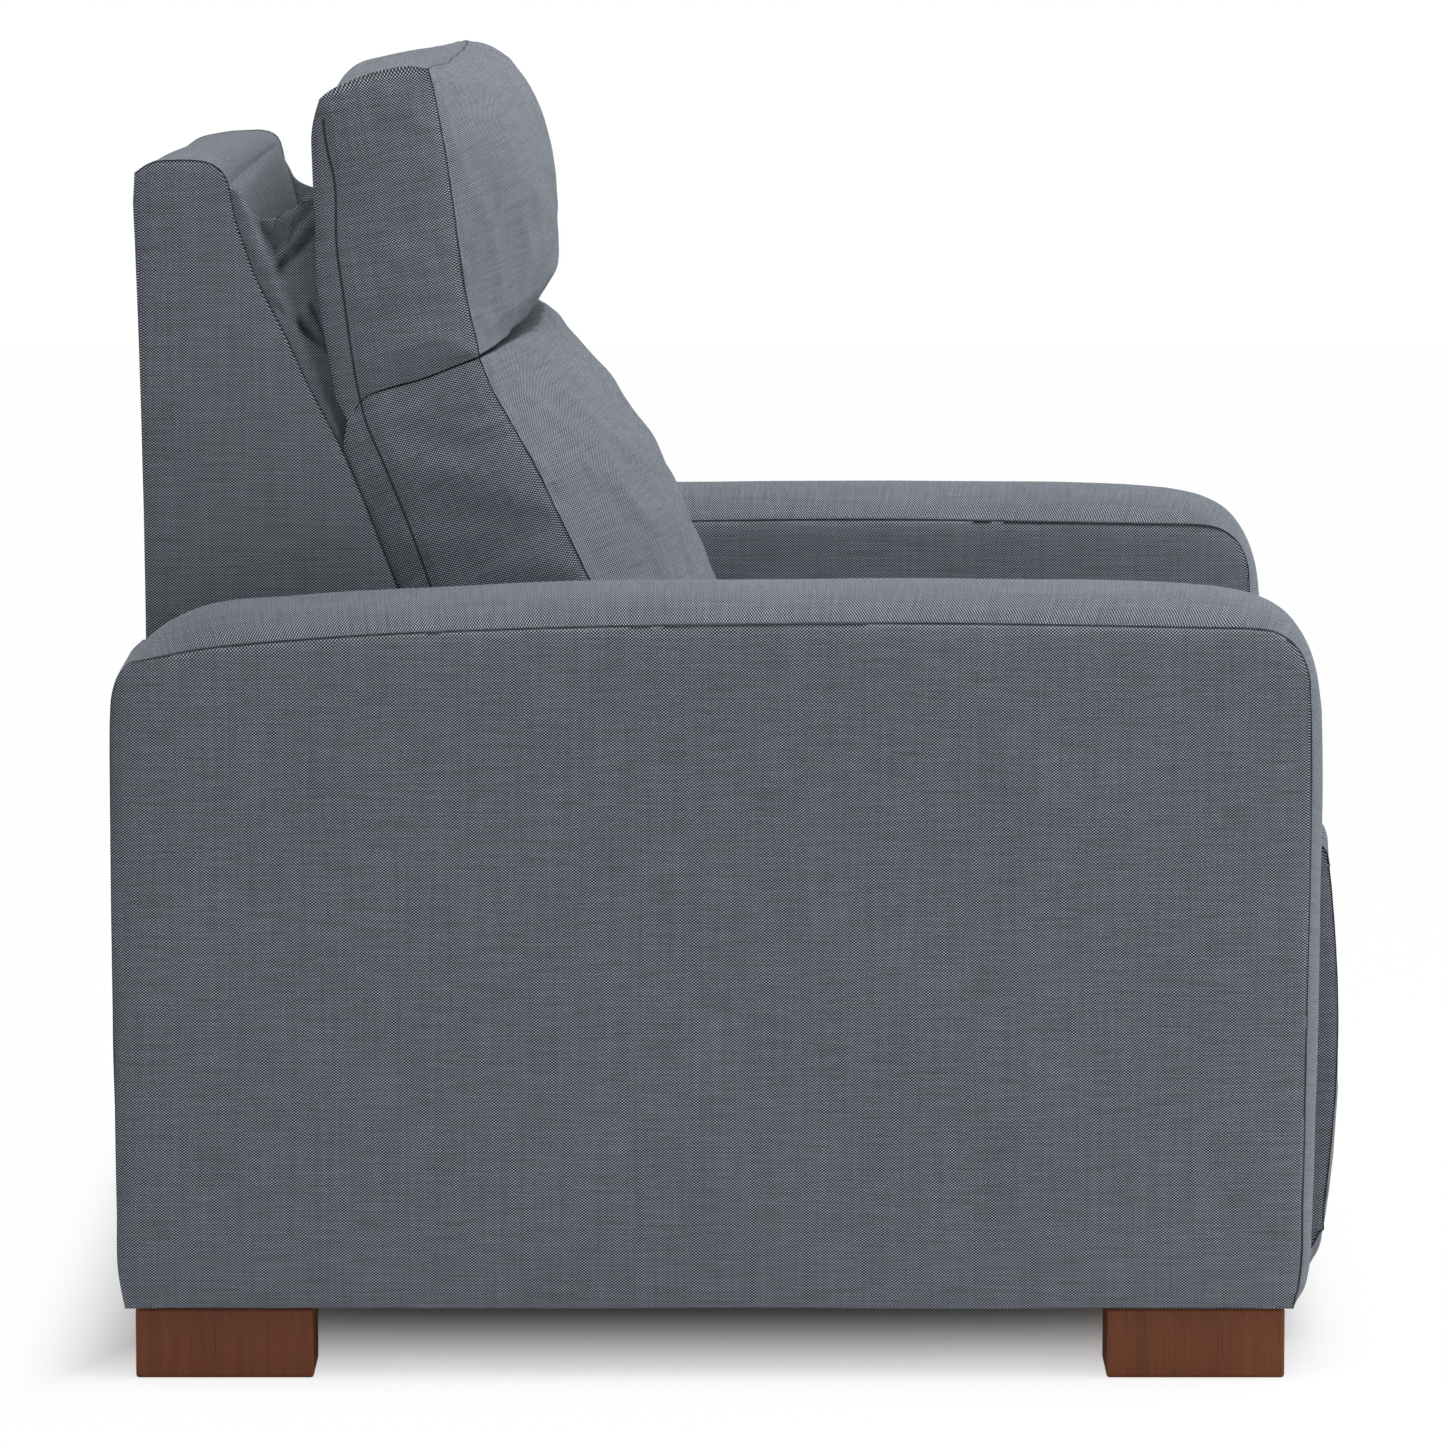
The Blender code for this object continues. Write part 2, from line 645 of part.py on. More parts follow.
def make_controls(base):
    """A bezel let into the right arm's inner face, with sprung buttons in square wells."""
    y, z = PANEL_AT
    half_y, half_z = PANEL_SIZE[0] / 2, PANEL_SIZE[1] / 2
    body_y, body_z = half_y - 2 * PANEL_LIP, half_z - PANEL_LIP
    back_face = -ARM_IN + GAP
    face = back_face + PANEL_LIP
    deepest = -ARM_IN - PANEL_DEPTH
    rim_y, rim_z = (y - half_y, y + half_y), (z - half_z, z + half_z)
    bezel = box("control_bezel", (back_face, face), rim_y, rim_z, "black_plastic", base)
    body = box_mesh((deepest, back_face + GAP), (y - body_y, y + body_y), (z - body_z, z + body_z))
    weld_on(bezel, tool("bezel_body", body))
    pocket = box_mesh(
        (-ARM_IN - ARM_WALL - ARM_WIDTH / 50, -ARM_IN + ARM_WALL),
        (y - body_y - RUN, y + body_y + RUN),
        (z - body_z - RUN, z + body_z + RUN),
    )
    cut(bpy.data.objects["arm_cover_right"], tool("bezel_pocket", pocket))
    names = ("recline", "close", "headrest_back", "headrest_forward")
    well = BUTTON / 2 + RUN
    front = face + BUTTON_PROUD
    bottom = deepest + BUTTON_FLOOR + BUTTON_TRAVEL + RUN
    for i, name in enumerate(names):
        middle = y + BUTTON_PITCH * (i - (len(names) - 1) / 2)
        hole_x = (bottom - BUTTON_TRAVEL - RUN, front + ARM_WALL)
        hole = box_mesh(hole_x, (middle - well, middle + well), (z - well, z + well))
        cut(bezel, tool(f"button_well_{i}", hole))
        axis = make_axis(f"button_axis_{i}", (bottom, middle, z), base)
        half = BUTTON / 2
        span_y, span_z = (middle - half, middle + half), (z - half, z + half)
        button = box("button_" + name, (bottom, front), span_y, span_z, "black_plastic", axis)
        ease(button, BUTTON / 25, 1)


def make_carriage(carriage):
    """The seat's gliding frame: steel side plates on glide strips, seat rails and the cushion."""
    guide_pivot, _ = guide_geometry()
    hinge_y, hinge_z = RECLINE_AXIS
    foot = CHANNEL_BOTTOM + 2 * CHANNEL_SHEET + PLY / 3
    top = SEAT_RAIL_BOTTOM + (FRONT_RAIL_BOTTOM - SEAT_RAIL_BOTTOM)
    ear = [
        (hinge_y + PLATE_EAR * math.cos(a), hinge_z + PLATE_EAR * math.sin(a))
        for a in (math.radians(d) for d in (-20, 15, 50, 90, 130, 165, 200))
    ]
    outline = [
        (PLATE_FRONT, top),
        (PLATE_FRONT, DRIVE_AXIS[1] + PLATE_FRONT - DRIVE_AXIS[0]),
        (DRIVE_AXIS[0] + 0.030, (DRIVE_AXIS[1] + CROSS_TUBE_AT[1]) / 2 - 0.0135),
        (DRIVE_AXIS[0] + 0.055, foot),
        (hinge_y - 0.040, foot),
        (hinge_y + 0.004, SEAT_RAIL_BOTTOM),
        *ear,
        (hinge_y - 0.030, top),
    ]
    strip_z = (
        CHANNEL_BOTTOM + CHANNEL_SHEET + GAP,
        CHANNEL_BOTTOM + CHANNEL_HEIGHT - CHANNEL_SHEET - RUN,
    )
    rail_z = (SEAT_RAIL_BOTTOM, SEAT_FRAME_TOP)
    rail_y = (SEAT_FRAME_FRONT + SEAT_RAIL + GAP, SEAT_RAIL_REAR)
    for side_name, side in SIDES:
        holes = [circle(DRIVE_AXIS, TUBE_RADIUS + 0.0008, 20)]
        x_span = mirrored(side, PLATE_IN, PLATE_OUT)
        side_plate = plate("side_plate_" + side_name, outline, x_span, "black_steel", carriage, holes)
        recline_pin = rod_mesh(RECLINE_AXIS, RECLINE_PIN, mirrored(side, PLATE_OUT - RUN, BRACKET_OUT))
        weld_on(side_plate, tool("recline_pin_" + side_name, recline_pin))
        pin_x = mirrored(side, GUIDE_IN - GAP, PLATE_IN + RUN)
        guide_pin = rod_mesh(guide_pivot, PIN_RADIUS, pin_x, SMALL_ROUND)
        weld_on(side_plate, tool("guide_pin_" + side_name, guide_pin))

        strip_x = mirrored(side, PLATE_OUT + GAP, ARM_IN - GAP - CHANNEL_SHEET - RUN)
        strip_y = (STRIP_FRONT, STRIP_REAR)
        box("glide_strip_" + side_name, strip_x, strip_y, strip_z, "black_plastic", carriage)
        rail_x = mirrored(side, PLATE_OUT + GAP, SEAT_HALF - SIDE_SHOW)
        box("seat_rail_" + side_name, rail_x, rail_y, rail_z, "plywood", carriage)

    full = (-SEAT_HALF + SIDE_SHOW, SEAT_HALF - SIDE_SHOW)
    between = (-PLATE_IN + GAP, PLATE_IN - GAP)
    front_y = (SEAT_FRAME_FRONT, SEAT_FRAME_FRONT + SEAT_RAIL)
    rear_y = (SEAT_RAIL_REAR - SEAT_RAIL, SEAT_RAIL_REAR)
    deck_z = (SEAT_BASE - DECK - GAP, SEAT_BASE - GAP)
    box("seat_rail_front", full, front_y, (FRONT_RAIL_BOTTOM, SEAT_FRAME_TOP), "plywood", carriage)
    box("seat_rail_rear", between, rear_y, rail_z, "plywood", carriage)
    box("seat_deck", full, (SEAT_FRAME_FRONT, SEAT_REAR), deck_z, "webbing", carriage)
    finish("cross_tube", rod_mesh(CROSS_TUBE_AT, TUBE_RADIUS, between), "black_steel", carriage)
    make_seat_cushion(carriage)


def make_seat_cushion(carriage):
    def along(share):
        return SEAT_FRONT + share * (SEAT_REAR - SEAT_FRONT)

    edge_top = SEAT_EDGE_TOP
    tuck = 0.2 * (SEAT_EDGE_TOP - SEAT_BASE)
    radius = NOSE_THICKNESS / 2
    edge = [
        (SEAT_REAR - 0.2 * tuck, SEAT_BASE),
        (SEAT_REAR, SEAT_BASE + tuck),
        (SEAT_REAR, edge_top - 1.4 * tuck),
        (SEAT_REAR - 0.5 * tuck, edge_top - 0.35 * tuck),
        (along(0.872), edge_top - 0.1 * tuck),
        (along(0.681), edge_top),
        (along(0.377), edge_top),
        (along(0.137), edge_top),
        (along(0.064), edge_top - 0.15 * tuck),
        (along(0.029), edge_top - radius),
        (along(0.016), NOSE_UNDERSIDE + 0.6 * radius),
        (along(0.029), NOSE_UNDERSIDE),
        (NOSE_STEP - radius, NOSE_UNDERSIDE),
        (NOSE_STEP, NOSE_UNDERSIDE - radius),
        (NOSE_STEP, SEAT_BASE + 0.3 * tuck),
        (NOSE_STEP + 0.3 * tuck, SEAT_BASE),
    ]
    lifts = (0, 0, 0, 0.2, 0.25, 0.75, 1, 1, 0.95, 0.55, 0, 0, 0, 0, 0, 0)
    middle = [(point[0], point[1] + SEAT_CROWN * lift) for point, lift in zip(edge, lifts)]
    middle[8] = (along(0.053), middle[8][1])
    middle[9] = (along(0.006), middle[9][1])
    middle[10] = (along(0.0), NOSE_UNDERSIDE + 1.2 * radius)
    crowned("seat_cushion", edge, middle, SEAT_HALF, "slate_tweed", carriage)


def guide_geometry():
    """The guide link's pivot on the side plate and its length.

    Its far end starts and ends on the front link's tail, so the pivot lies on the line
    that is as far from the one place as from the other.
    """
    tails = []
    for rear_angle, front_angle in zip(REAR_LINK_ANGLES, FRONT_LINK_ANGLES):
        elbow = swing(DRIVE_AXIS, REAR_LINK, rear_angle)
        tails.append(swing(elbow, -FRONT_LINK_TAIL, front_angle))
    middle = mix(tails[0], tails[1], 0.5)
    across = (tails[1][0] - tails[0][0], tails[1][1] - tails[0][1])
    reach = math.hypot(*across)
    pivot = (middle[0] + GUIDE_SIDE * across[1] / reach, middle[1] - GUIDE_SIDE * across[0] / reach)
    length = math.hypot(pivot[0] - tails[0][0], pivot[1] - tails[0][1])
    return pivot, length


def make_legrest(carriage):
    """The drive tube, three pairs of links, and the board and pad of the footrest."""
    elbow = swing(DRIVE_AXIS, REAR_LINK, REAR_LINK_ANGLES[0])
    knee = swing(elbow, FRONT_LINK, FRONT_LINK_ANGLES[0])
    tail = swing(elbow, -FRONT_LINK_TAIL, FRONT_LINK_ANGLES[0])
    guide_pivot, _ = guide_geometry()
    rear_axis = make_axis("rear_link_axis", DRIVE_AXIS, carriage)
    front_axis = make_axis("front_link_axis", elbow, rear_axis)
    guide_axis = make_axis("guide_link_axis", guide_pivot, carriage)
    footrest_axis = make_axis("footrest_axis", knee, front_axis)

    shaft_mesh = rod_mesh(DRIVE_AXIS, TUBE_RADIUS, (-PLATE_OUT, PLATE_OUT), 20)
    shaft = finish("drive_shaft", shaft_mesh, "zinc_steel", rear_axis)
    crank_end = swing(DRIVE_AXIS, CRANK_PIN_DROP / math.cos(CRANK_START) + 0.001, CRANK_START)
    slot_start = swing(DRIVE_AXIS, CRANK_PIN_DROP, CRANK_START)
    slot_half = DRIVE_PIN_RADIUS + 0.055 * CRANK_PIN_DROP + RUN
    slot = capsule(slot_start, crank_end, slot_half)
    crank = capsule(DRIVE_AXIS, crank_end, CRANK_HALF_WIDTH)
    weld_on(shaft, tool("drive_crank", plate_mesh(crank, (DRIVE_X - STEEL, DRIVE_X + STEEL), [slot])))

    for side_name, side in SIDES:
        arm = capsule(DRIVE_AXIS, elbow, DRIVE_ARM_HALF_WIDTH)
        arm_x = mirrored(side, REAR_LINK_IN, REAR_LINK_OUT)
        weld_on(shaft, tool("drive_arm_" + side_name, plate_mesh(arm, arm_x)))
        pin_x = mirrored(side, FRONT_LINK_IN - GAP / 2, REAR_LINK_IN + RUN)
        pin = rod_mesh(elbow, PIN_RADIUS, pin_x, SMALL_ROUND)
        weld_on(shaft, tool("elbow_pin_" + side_name, pin))
        front = plate(
            "front_link_" + side_name,
            capsule(tail, knee, LINK_HALF_WIDTH),
            mirrored(side, FRONT_LINK_IN, FRONT_LINK_OUT),
            "black_steel",
            front_axis,
            [circle(elbow, PIN_HOLE, SMALL_ROUND), circle(tail, PIN_HOLE, SMALL_ROUND)],
        )
        pin = rod_mesh(knee, PIN_RADIUS, mirrored(side, GUIDE_IN - GAP, FRONT_LINK_IN + 0.001), SMALL_ROUND)
        weld_on(front, tool("knee_pin_" + side_name, pin))
        plate(
            "guide_link_" + side_name,
            capsule(guide_pivot, tail, GUIDE_HALF_WIDTH),
            mirrored(side, GUIDE_IN, GUIDE_OUT),
            "black_steel",
            guide_axis,
            [circle(guide_pivot, PIN_HOLE, SMALL_ROUND), circle(tail, PIN_HOLE, SMALL_ROUND)],
        )
        board_rear = PAD_REAR + GAP + PLY
        arm = [
            (board_rear + GAP, knee[1] + LINK_HALF_WIDTH),
            (board_rear + GAP, knee[1] - BRACKET_DROP),
            (board_rear + LINK_HALF_WIDTH, knee[1] - BRACKET_DROP),
            *[
                (knee[0] + LINK_HALF_WIDTH * math.cos(a), knee[1] + LINK_HALF_WIDTH * math.sin(a))
                for a in (math.radians(d) for d in (-60, -30, 0, 30, 60, 90))
            ],
        ]
        plate(
            "footrest_bracket_" + side_name,
            arm,
            mirrored(side, GUIDE_IN, GUIDE_OUT),
            "black_steel",
            footrest_axis,
            [circle(knee, PIN_HOLE, SMALL_ROUND)],
        )

    low, high = PAD_BOTTOM + FOOT_BOARD_MARGIN, PAD_TOP - FOOT_BOARD_MARGIN
    width = (-FOOT_BOARD_HALF, FOOT_BOARD_HALF)
    depth = (PAD_REAR + GAP, PAD_REAR + GAP + PLY)
    box("footrest_board", width, depth, (low, high), "plywood", footrest_axis)
    make_pad(footrest_axis)


def pad_outline(rise):
    """The footrest pad from the side: a flat rear face, boxing strips and a bowed front face."""
    seam = PAD_CROWN_AT + PAD_CROWN
    points = [
        (PAD_REAR, PAD_BOTTOM + PAD_CORNER),
        (PAD_REAR, PAD_TOP - PAD_CORNER),
        (PAD_REAR - PAD_EDGE, PAD_TOP),
    ]
    count = 11
    for i in range(count):
        up = 1.0 - 2.0 * i / (count - 1)
        bow = PAD_CROWN * (1.0 - 0.55 * abs(up) ** 3)
        z = PAD_MIDDLE + up * (PAD_HALF_HEIGHT - PAD_CORNER * (1.0 - rise))
        if i in (0, count - 1):
            bow *= 0.30
        points.append((seam - rise * bow, z))
    points.append((PAD_REAR - PAD_EDGE, PAD_BOTTOM))
    return points


def make_pad(axis):
    seam, crown = pad_outline(0.0), pad_outline(1.0)
    crowned("footrest_pad", seam, crown, SEAT_HALF, "slate_tweed", axis, power=3.2)


def make_drives(carriage):
    """Two linear drives: a gearbox with its motor, a square rail, and a nut that runs on it."""
    centre_z = CROSS_TUBE_AT[1]
    half = DRIVE_RAIL_DEPTH / 2
    drop = CRANK_PIN_DROP
    crank_pin = (DRIVE_AXIS[0] - CRANK_PACE * drop * CRANK_START, DRIVE_AXIS[1] - drop)
    lever_pin = (RECLINE_AXIS[0], RECLINE_AXIS[1] - LEVER_PIN_DROP)
    jobs = (
        ("legrest", DRIVE_X, -1, LEGREST_RAIL_END, crank_pin),
        ("recline", -DRIVE_X, 1, RECLINE_RAIL_END, lever_pin),
    )
    for name, x, heading, rail_end, pin_at in jobs:
        nut_y, pin_z = pin_at
        start = CROSS_TUBE_AT[0] + heading * (TUBE_RADIUS + GAP)
        end = start + heading * GEARBOX_LENGTH
        body_x = (x - GEARBOX_HALF_WIDTH, x + GEARBOX_HALF_WIDTH)
        body_z = (centre_z - GEARBOX_HALF_HEIGHT, centre_z + GEARBOX_HALF_HEIGHT)
        body_y = tuple(sorted((start, end)))
        gearbox = box(name + "_drive", body_x, body_y, body_z, "black_plastic", carriage)
        rail_x = (x - DRIVE_RAIL_HALF, x + DRIVE_RAIL_HALF)
        rail_y = tuple(sorted((end - heading * DRIVE_RAIL_HALF, rail_end)))
        rail = box_mesh(rail_x, rail_y, (centre_z - half, centre_z + half))
        weld_on(gearbox, tool(name + "_rail", rail))
        motor_x = (body_x[1] - RUN, body_x[1] + MOTOR_LENGTH)
        motor = rod_mesh((start + heading * MOTOR_AT, centre_z), MOTOR_RADIUS, motor_x)
        weld_on(gearbox, tool(name + "_motor", motor))

        axis = make_axis(name + "_nut_axis", (x, nut_y, centre_z), carriage)
        span = (nut_y - NUT_LENGTH / 2, nut_y + NUT_LENGTH / 2)
        inner_x, inner_z = DRIVE_RAIL_HALF + RUN, half + RUN
        outer_x = (x - inner_x - NUT_WALL, x + inner_x + NUT_WALL)
        outer_z = (centre_z - inner_z - NUT_WALL, centre_z + inner_z + NUT_WALL)
        block = box(name + "_nut", outer_x, span, outer_z, "black_plastic", axis)
        bore = box_mesh(
            (x - inner_x, x + inner_x),
            (span[0] - NUT_WALL, span[1] + NUT_WALL),
            (centre_z - inner_z, centre_z + inner_z),
        )
        cut(block, tool(name + "_nut_bore", bore))
        near = STEEL + 3 * RUN
        for end_name, sign in (("a", -1), ("b", 1)):
            cheek = box_mesh(
                tuple(sorted((x + sign * near, x + sign * (near + CHEEK)))),
                (nut_y - CHEEK_HALF, nut_y + CHEEK_HALF),
                (outer_z[1] - NUT_WALL / 2, pin_z + 2 * DRIVE_PIN_RADIUS),
            )
            weld_on(block, tool(f"{name}_cheek_{end_name}", cheek))
        reach = near + CHEEK / 2
        pin = rod_mesh(pin_at, DRIVE_PIN_RADIUS, (x - reach, x + reach), SMALL_ROUND)
        weld_on(block, tool(name + "_nut_pin", pin))


def make_back(back):
    """The back: plywood wedge frame, upholstered outer shell, brackets, lever and cushion."""
    inset = BACK_FRAME_INSET
    inner_rear = BACK_REAR - BACK_WALL - GAP
    frame_top = BACK_TOP - BACK_TOP_PADDING
    toe = (BACK_LINE_AT[0] - 0.030, BACK_BOTTOM + 0.5 * (BACK_FRONT_BOTTOM - BACK_BOTTOM))
    bearing_room = BEARING_RADIUS + 0.0065
    ear = [
        (HEADREST_AXIS[0] + BEARING_RADIUS * math.cos(a), HEADREST_AXIS[1] + BEARING_RADIUS * math.sin(a))
        for a in (math.radians(d) for d in (240, 210, 180, 150, 120, 90, 65))
    ]
    under, over = HEADREST_AXIS[1] - bearing_room, HEADREST_AXIS[1] + bearing_room
    frame = [
        (back_line(BACK_FRONT_BOTTOM) + inset, BACK_FRONT_BOTTOM),
        (back_line(under) + inset, under),
        *ear,
        (back_line(over) + inset, over),
        (back_line(frame_top) + inset, frame_top),
        (inner_rear, frame_top),
        (inner_rear, BACK_BOTTOM + PLY),
        toe,
    ]
    edge, crown = outer_back_outline(0.0), outer_back_outline(1.0)
    steps = (0.0, 0.015, 0.05, 0.20, 0.5)
    shell = crowned("outer_back", edge, crown, BACK_HALF, "slate_tweed", back, steps, 8.0)
    below = BACK_BOTTOM / 3
    ahead = 10 * BACK_WALL
    hollow = [
        (back_line(below) - ahead, below),
        (back_line(frame_top) - ahead, frame_top + GAP),
        (inner_rear + GAP, frame_top + GAP),
        (inner_rear + GAP, below),
    ]
    cut(shell, tool("outer_back_hollow", plate_mesh(hollow, (-FRAME_OUT - GAP, FRAME_OUT + GAP))))

    bracket_end = (RECLINE_AXIS[0] + BRACKET_REACH[0], RECLINE_AXIS[1] + BRACKET_REACH[1])
    bracket = capsule(RECLINE_AXIS, bracket_end, BRACKET_HALF_WIDTH, 9)
    for side_name, side in SIDES:
        bearing = circle(HEADREST_AXIS, HINGE_BAR_RADIUS + 0.0008)
        frame_x = mirrored(side, FRAME_IN, FRAME_OUT)
        plate("back_frame_" + side_name, frame, frame_x, "plywood", back, [bearing])
        bracket_x = mirrored(side, BRACKET_IN, BRACKET_OUT)
        pin_hole = circle(RECLINE_AXIS, RECLINE_PIN + 0.0008)
        plate("back_bracket_" + side_name, bracket, bracket_x, "black_steel", back, [pin_hole])

    shelf_x = (-BRACKET_IN + GAP, BRACKET_IN - GAP)
    shelf_y = (SHELF_FRONT, inner_rear - 0.5 * SHELF)
    box("back_shelf", shelf_x, shelf_y, (SHELF_AT, SHELF_AT + SHELF), "plywood", back)
    rail_x = (-FRAME_IN + GAP, FRAME_IN - GAP)
    rail_y = (back_line(TOP_RAIL_AT) + PLY + GAP, inner_rear - inset)
    rail_z = (TOP_RAIL_AT, TOP_RAIL_AT + TOP_RAIL_HEIGHT)
    box("back_top_rail", rail_x, rail_y, rail_z, "plywood", back)
    webbing = [
        (back_line(WEBBING_LOW) - GAP, WEBBING_LOW),
        (back_line(WEBBING_HIGH) - GAP, WEBBING_HIGH),
        (back_line(WEBBING_HIGH) + inset - GAP, WEBBING_HIGH),
        (back_line(WEBBING_LOW) + inset - GAP, WEBBING_LOW),
    ]
    plate("back_webbing", webbing, (-FRAME_OUT, FRAME_OUT), "webbing", back)

    lever_top = SHELF_AT - GAP
    tip = RECLINE_AXIS[1] - LEVER_PIN_DROP * 1.22 - 3 * DRIVE_PIN_RADIUS
    lever = [
        (SHELF_FRONT + 2 * DRIVE_PIN_RADIUS, lever_top),
        (SHELF_FRONT + 0.085, lever_top),
        (RECLINE_AXIS[0] + 4 * DRIVE_PIN_RADIUS, tip + 0.020),
        (RECLINE_AXIS[0] + 3.4 * DRIVE_PIN_RADIUS, tip),
        (RECLINE_AXIS[0] - 2.9 * DRIVE_PIN_RADIUS, tip),
        (RECLINE_AXIS[0] - 3.1 * DRIVE_PIN_RADIUS, tip + 0.042),
    ]
    lever_x = (-DRIVE_X - STEEL, -DRIVE_X + STEEL)
    plate("recline_lever", lever, lever_x, "black_steel", back, [lever_slot()])
    make_lumbar(back)
    make_gusset(back)


def outer_back_outline(rise):
    """The outer back from the side: leaning front edge, rolled top, upright rear."""
    radius = BACK_CORNER_RADIUS
    drop = (1.0 - rise) * 0.25 * radius
    top = BACK_TOP - drop
    rear = BACK_REAR - drop
    bulge = rise * BACK_REAR_CROWN
    height = BACK_TOP - BACK_BOTTOM
    front_top = back_line(top - radius)
    points = [(back_line(BACK_FRONT_BOTTOM), BACK_FRONT_BOTTOM)]
    for share in (0.35, 0.57, 0.80):
        z = BACK_BOTTOM + share * height
        points.append((back_line(z), z))
    points.append((front_top, top - radius))
    for i in range(1, 4):
        angle = math.pi - math.radians(22.5 + 22.5 * i)
        y = front_top + radius * (1.0 + math.cos(angle))
        points.append((y, top - radius + radius * math.sin(angle)))
    for i in range(1, 4):
        angle = math.pi / 2 - math.radians(30.0 * i)
        y = rear - 0.75 * radius + radius * math.cos(angle)
        points.append((y, top - radius + radius * math.sin(angle)))
    points += [
        (rear + bulge + 0.125 * radius, BACK_BOTTOM + 0.80 * height),
        (rear + bulge, BACK_BOTTOM + 0.57 * height),
        (rear, BACK_BOTTOM + 0.27 * height),
        (rear - 0.125 * radius, BACK_BOTTOM + 0.75 * radius),
        (rear - 0.625 * radius, BACK_BOTTOM),
        (rear - 1.875 * radius, BACK_BOTTOM),
        (BACK_LINE_AT[0] - 2.25 * radius, BACK_BOTTOM + 0.44 * (BACK_FRONT_BOTTOM - BACK_BOTTOM)),
    ]
    return points


def crease(share, lift=0.0):
    """The fold between the headrest and the lumbar cushion, from rear to front."""
    point = mix(CREASE_REAR, CREASE_FRONT, share)
    sag = CREASE_SAG * math.sin(math.pi * share)
    return (point[0], point[1] - sag + lift)


def make_lumbar(back):
    """The cushion under the headrest: as deep at its sides as its seam, and bowed between them."""

    def in_front(height_share, depth):
        z = LUMBAR_BOTTOM + height_share * (CREASE_REAR[1] - LUMBAR_BOTTOM)
        return (back_line(z) - depth, z)

    rear = [in_front(share, LUMBAR_REAR_GAP) for share in (0.0, 0.38, 0.71)]
    rear.append(in_front(0.826, 0.036 * LUMBAR_SIDE_DEPTH))
    rear.append(in_front(0.882, 0.121 * LUMBAR_SIDE_DEPTH))
    rear.append(in_front(0.995, 0.252 * LUMBAR_SIDE_DEPTH))
    seam = (
        (1.035, 0.858),
        (0.949, 0.885),
        (0.793, 0.933),
        (0.653, 0.952),
        (0.514, 0.970),
        (0.312, 0.996),
        (0.113, 1.000),
        (0.020, 0.896),
        (0.000, 0.736),
    )
    bow = (
        (1.166, 0.754),
        (1.141, 0.857),
        (1.018, 0.909),
        (0.876, 0.935),
        (0.733, 0.965),
        (0.534, 0.996),
        (0.312, 1.000),
        (0.113, 0.975),
        (0.020, 0.890),
        (0.000, 0.722),
    )
    edge = [
        *rear,
        *[crease(share) for share in (0.25, 0.50, 0.75, 1.00)],
        *[in_front(height, LUMBAR_SIDE_DEPTH * depth) for height, depth in seam],
    ]
    lip = crease(0.75)
    middle = [
        *edge[:8],
        (lip[0] - CREASE_REACH, lip[1] + CREASE_ROLL),
        *[in_front(height, LUMBAR_DEPTH * depth) for height, depth in bow],
    ]
    cushion = crowned("lumbar_cushion", edge, middle, BACK_HALF, "slate_tweed", back, power=3.0)
    for side_name, side in SIDES:
        room_x = mirrored(side, FRAME_IN - RUN, FRAME_OUT + RUN)
        room = rod_mesh(HEADREST_AXIS, BEARING_RADIUS + 2 * RUN, room_x)
        cut(cushion, tool("bearing_room_" + side_name, room))


def make_gusset(back):
    """The folded bellows that closes the gap between the outer back and the headrest."""
    low, high = HEADREST_AXIS[1] + 0.034, BACK_TOP - 0.020
    hem = 0.0015
    half = BACK_HALF - 0.009
    rise_steps, across_steps, fold_steps = 9, 12, 6
    path = [(-half, low + (high - low) * i / rise_steps, (1.0, 0.0)) for i in range(rise_steps)]
    path += [
        (-half + 2.0 * half * i / across_steps, high, (0.0, -1.0)) for i in range(across_steps + 1)
    ]
    path += [(half, low + (high - low) * i / rise_steps, (-1.0, 0.0)) for i in reversed(range(rise_steps))]
    corners = {rise_steps: (0.7, -0.7), rise_steps + across_steps: (-0.7, -0.7)}
    mesh_builder = bmesh.new()
    rows = []
    for place, (x, z, inward) in enumerate(path):
        inward = corners.get(place, inward)
        rear_y = back_line(z) - hem
        front_y = headrest_line(z) + hem
        width = rear_y - front_y
        row = []
        for fold in range(fold_steps + 1):
            share = fold / fold_steps
            belly = math.sin(math.pi * share)
            pleat = 0.0035 * math.sin(math.pi * fold_steps * share * 0.5) * math.sin(1.7 * place)
            sag = (0.30 * width + pleat) * belly
            y = rear_y + (front_y - rear_y) * share
            row.append(mesh_builder.verts.new((x + inward[0] * sag, y, z + inward[1] * sag)))
        rows.append(row)
    for first, second in zip(rows, rows[1:]):
        for i in range(fold_steps):
            mesh_builder.faces.new([first[i], first[i + 1], second[i + 1], second[i]])
    sheet = finish("headrest_gusset", mesh_builder, "slate_tweed", back)
    thickness = sheet.modifiers.new("cloth", "SOLIDIFY")
    thickness.thickness = 0.0025
    thickness.offset = 0.0
    smooth(sheet)


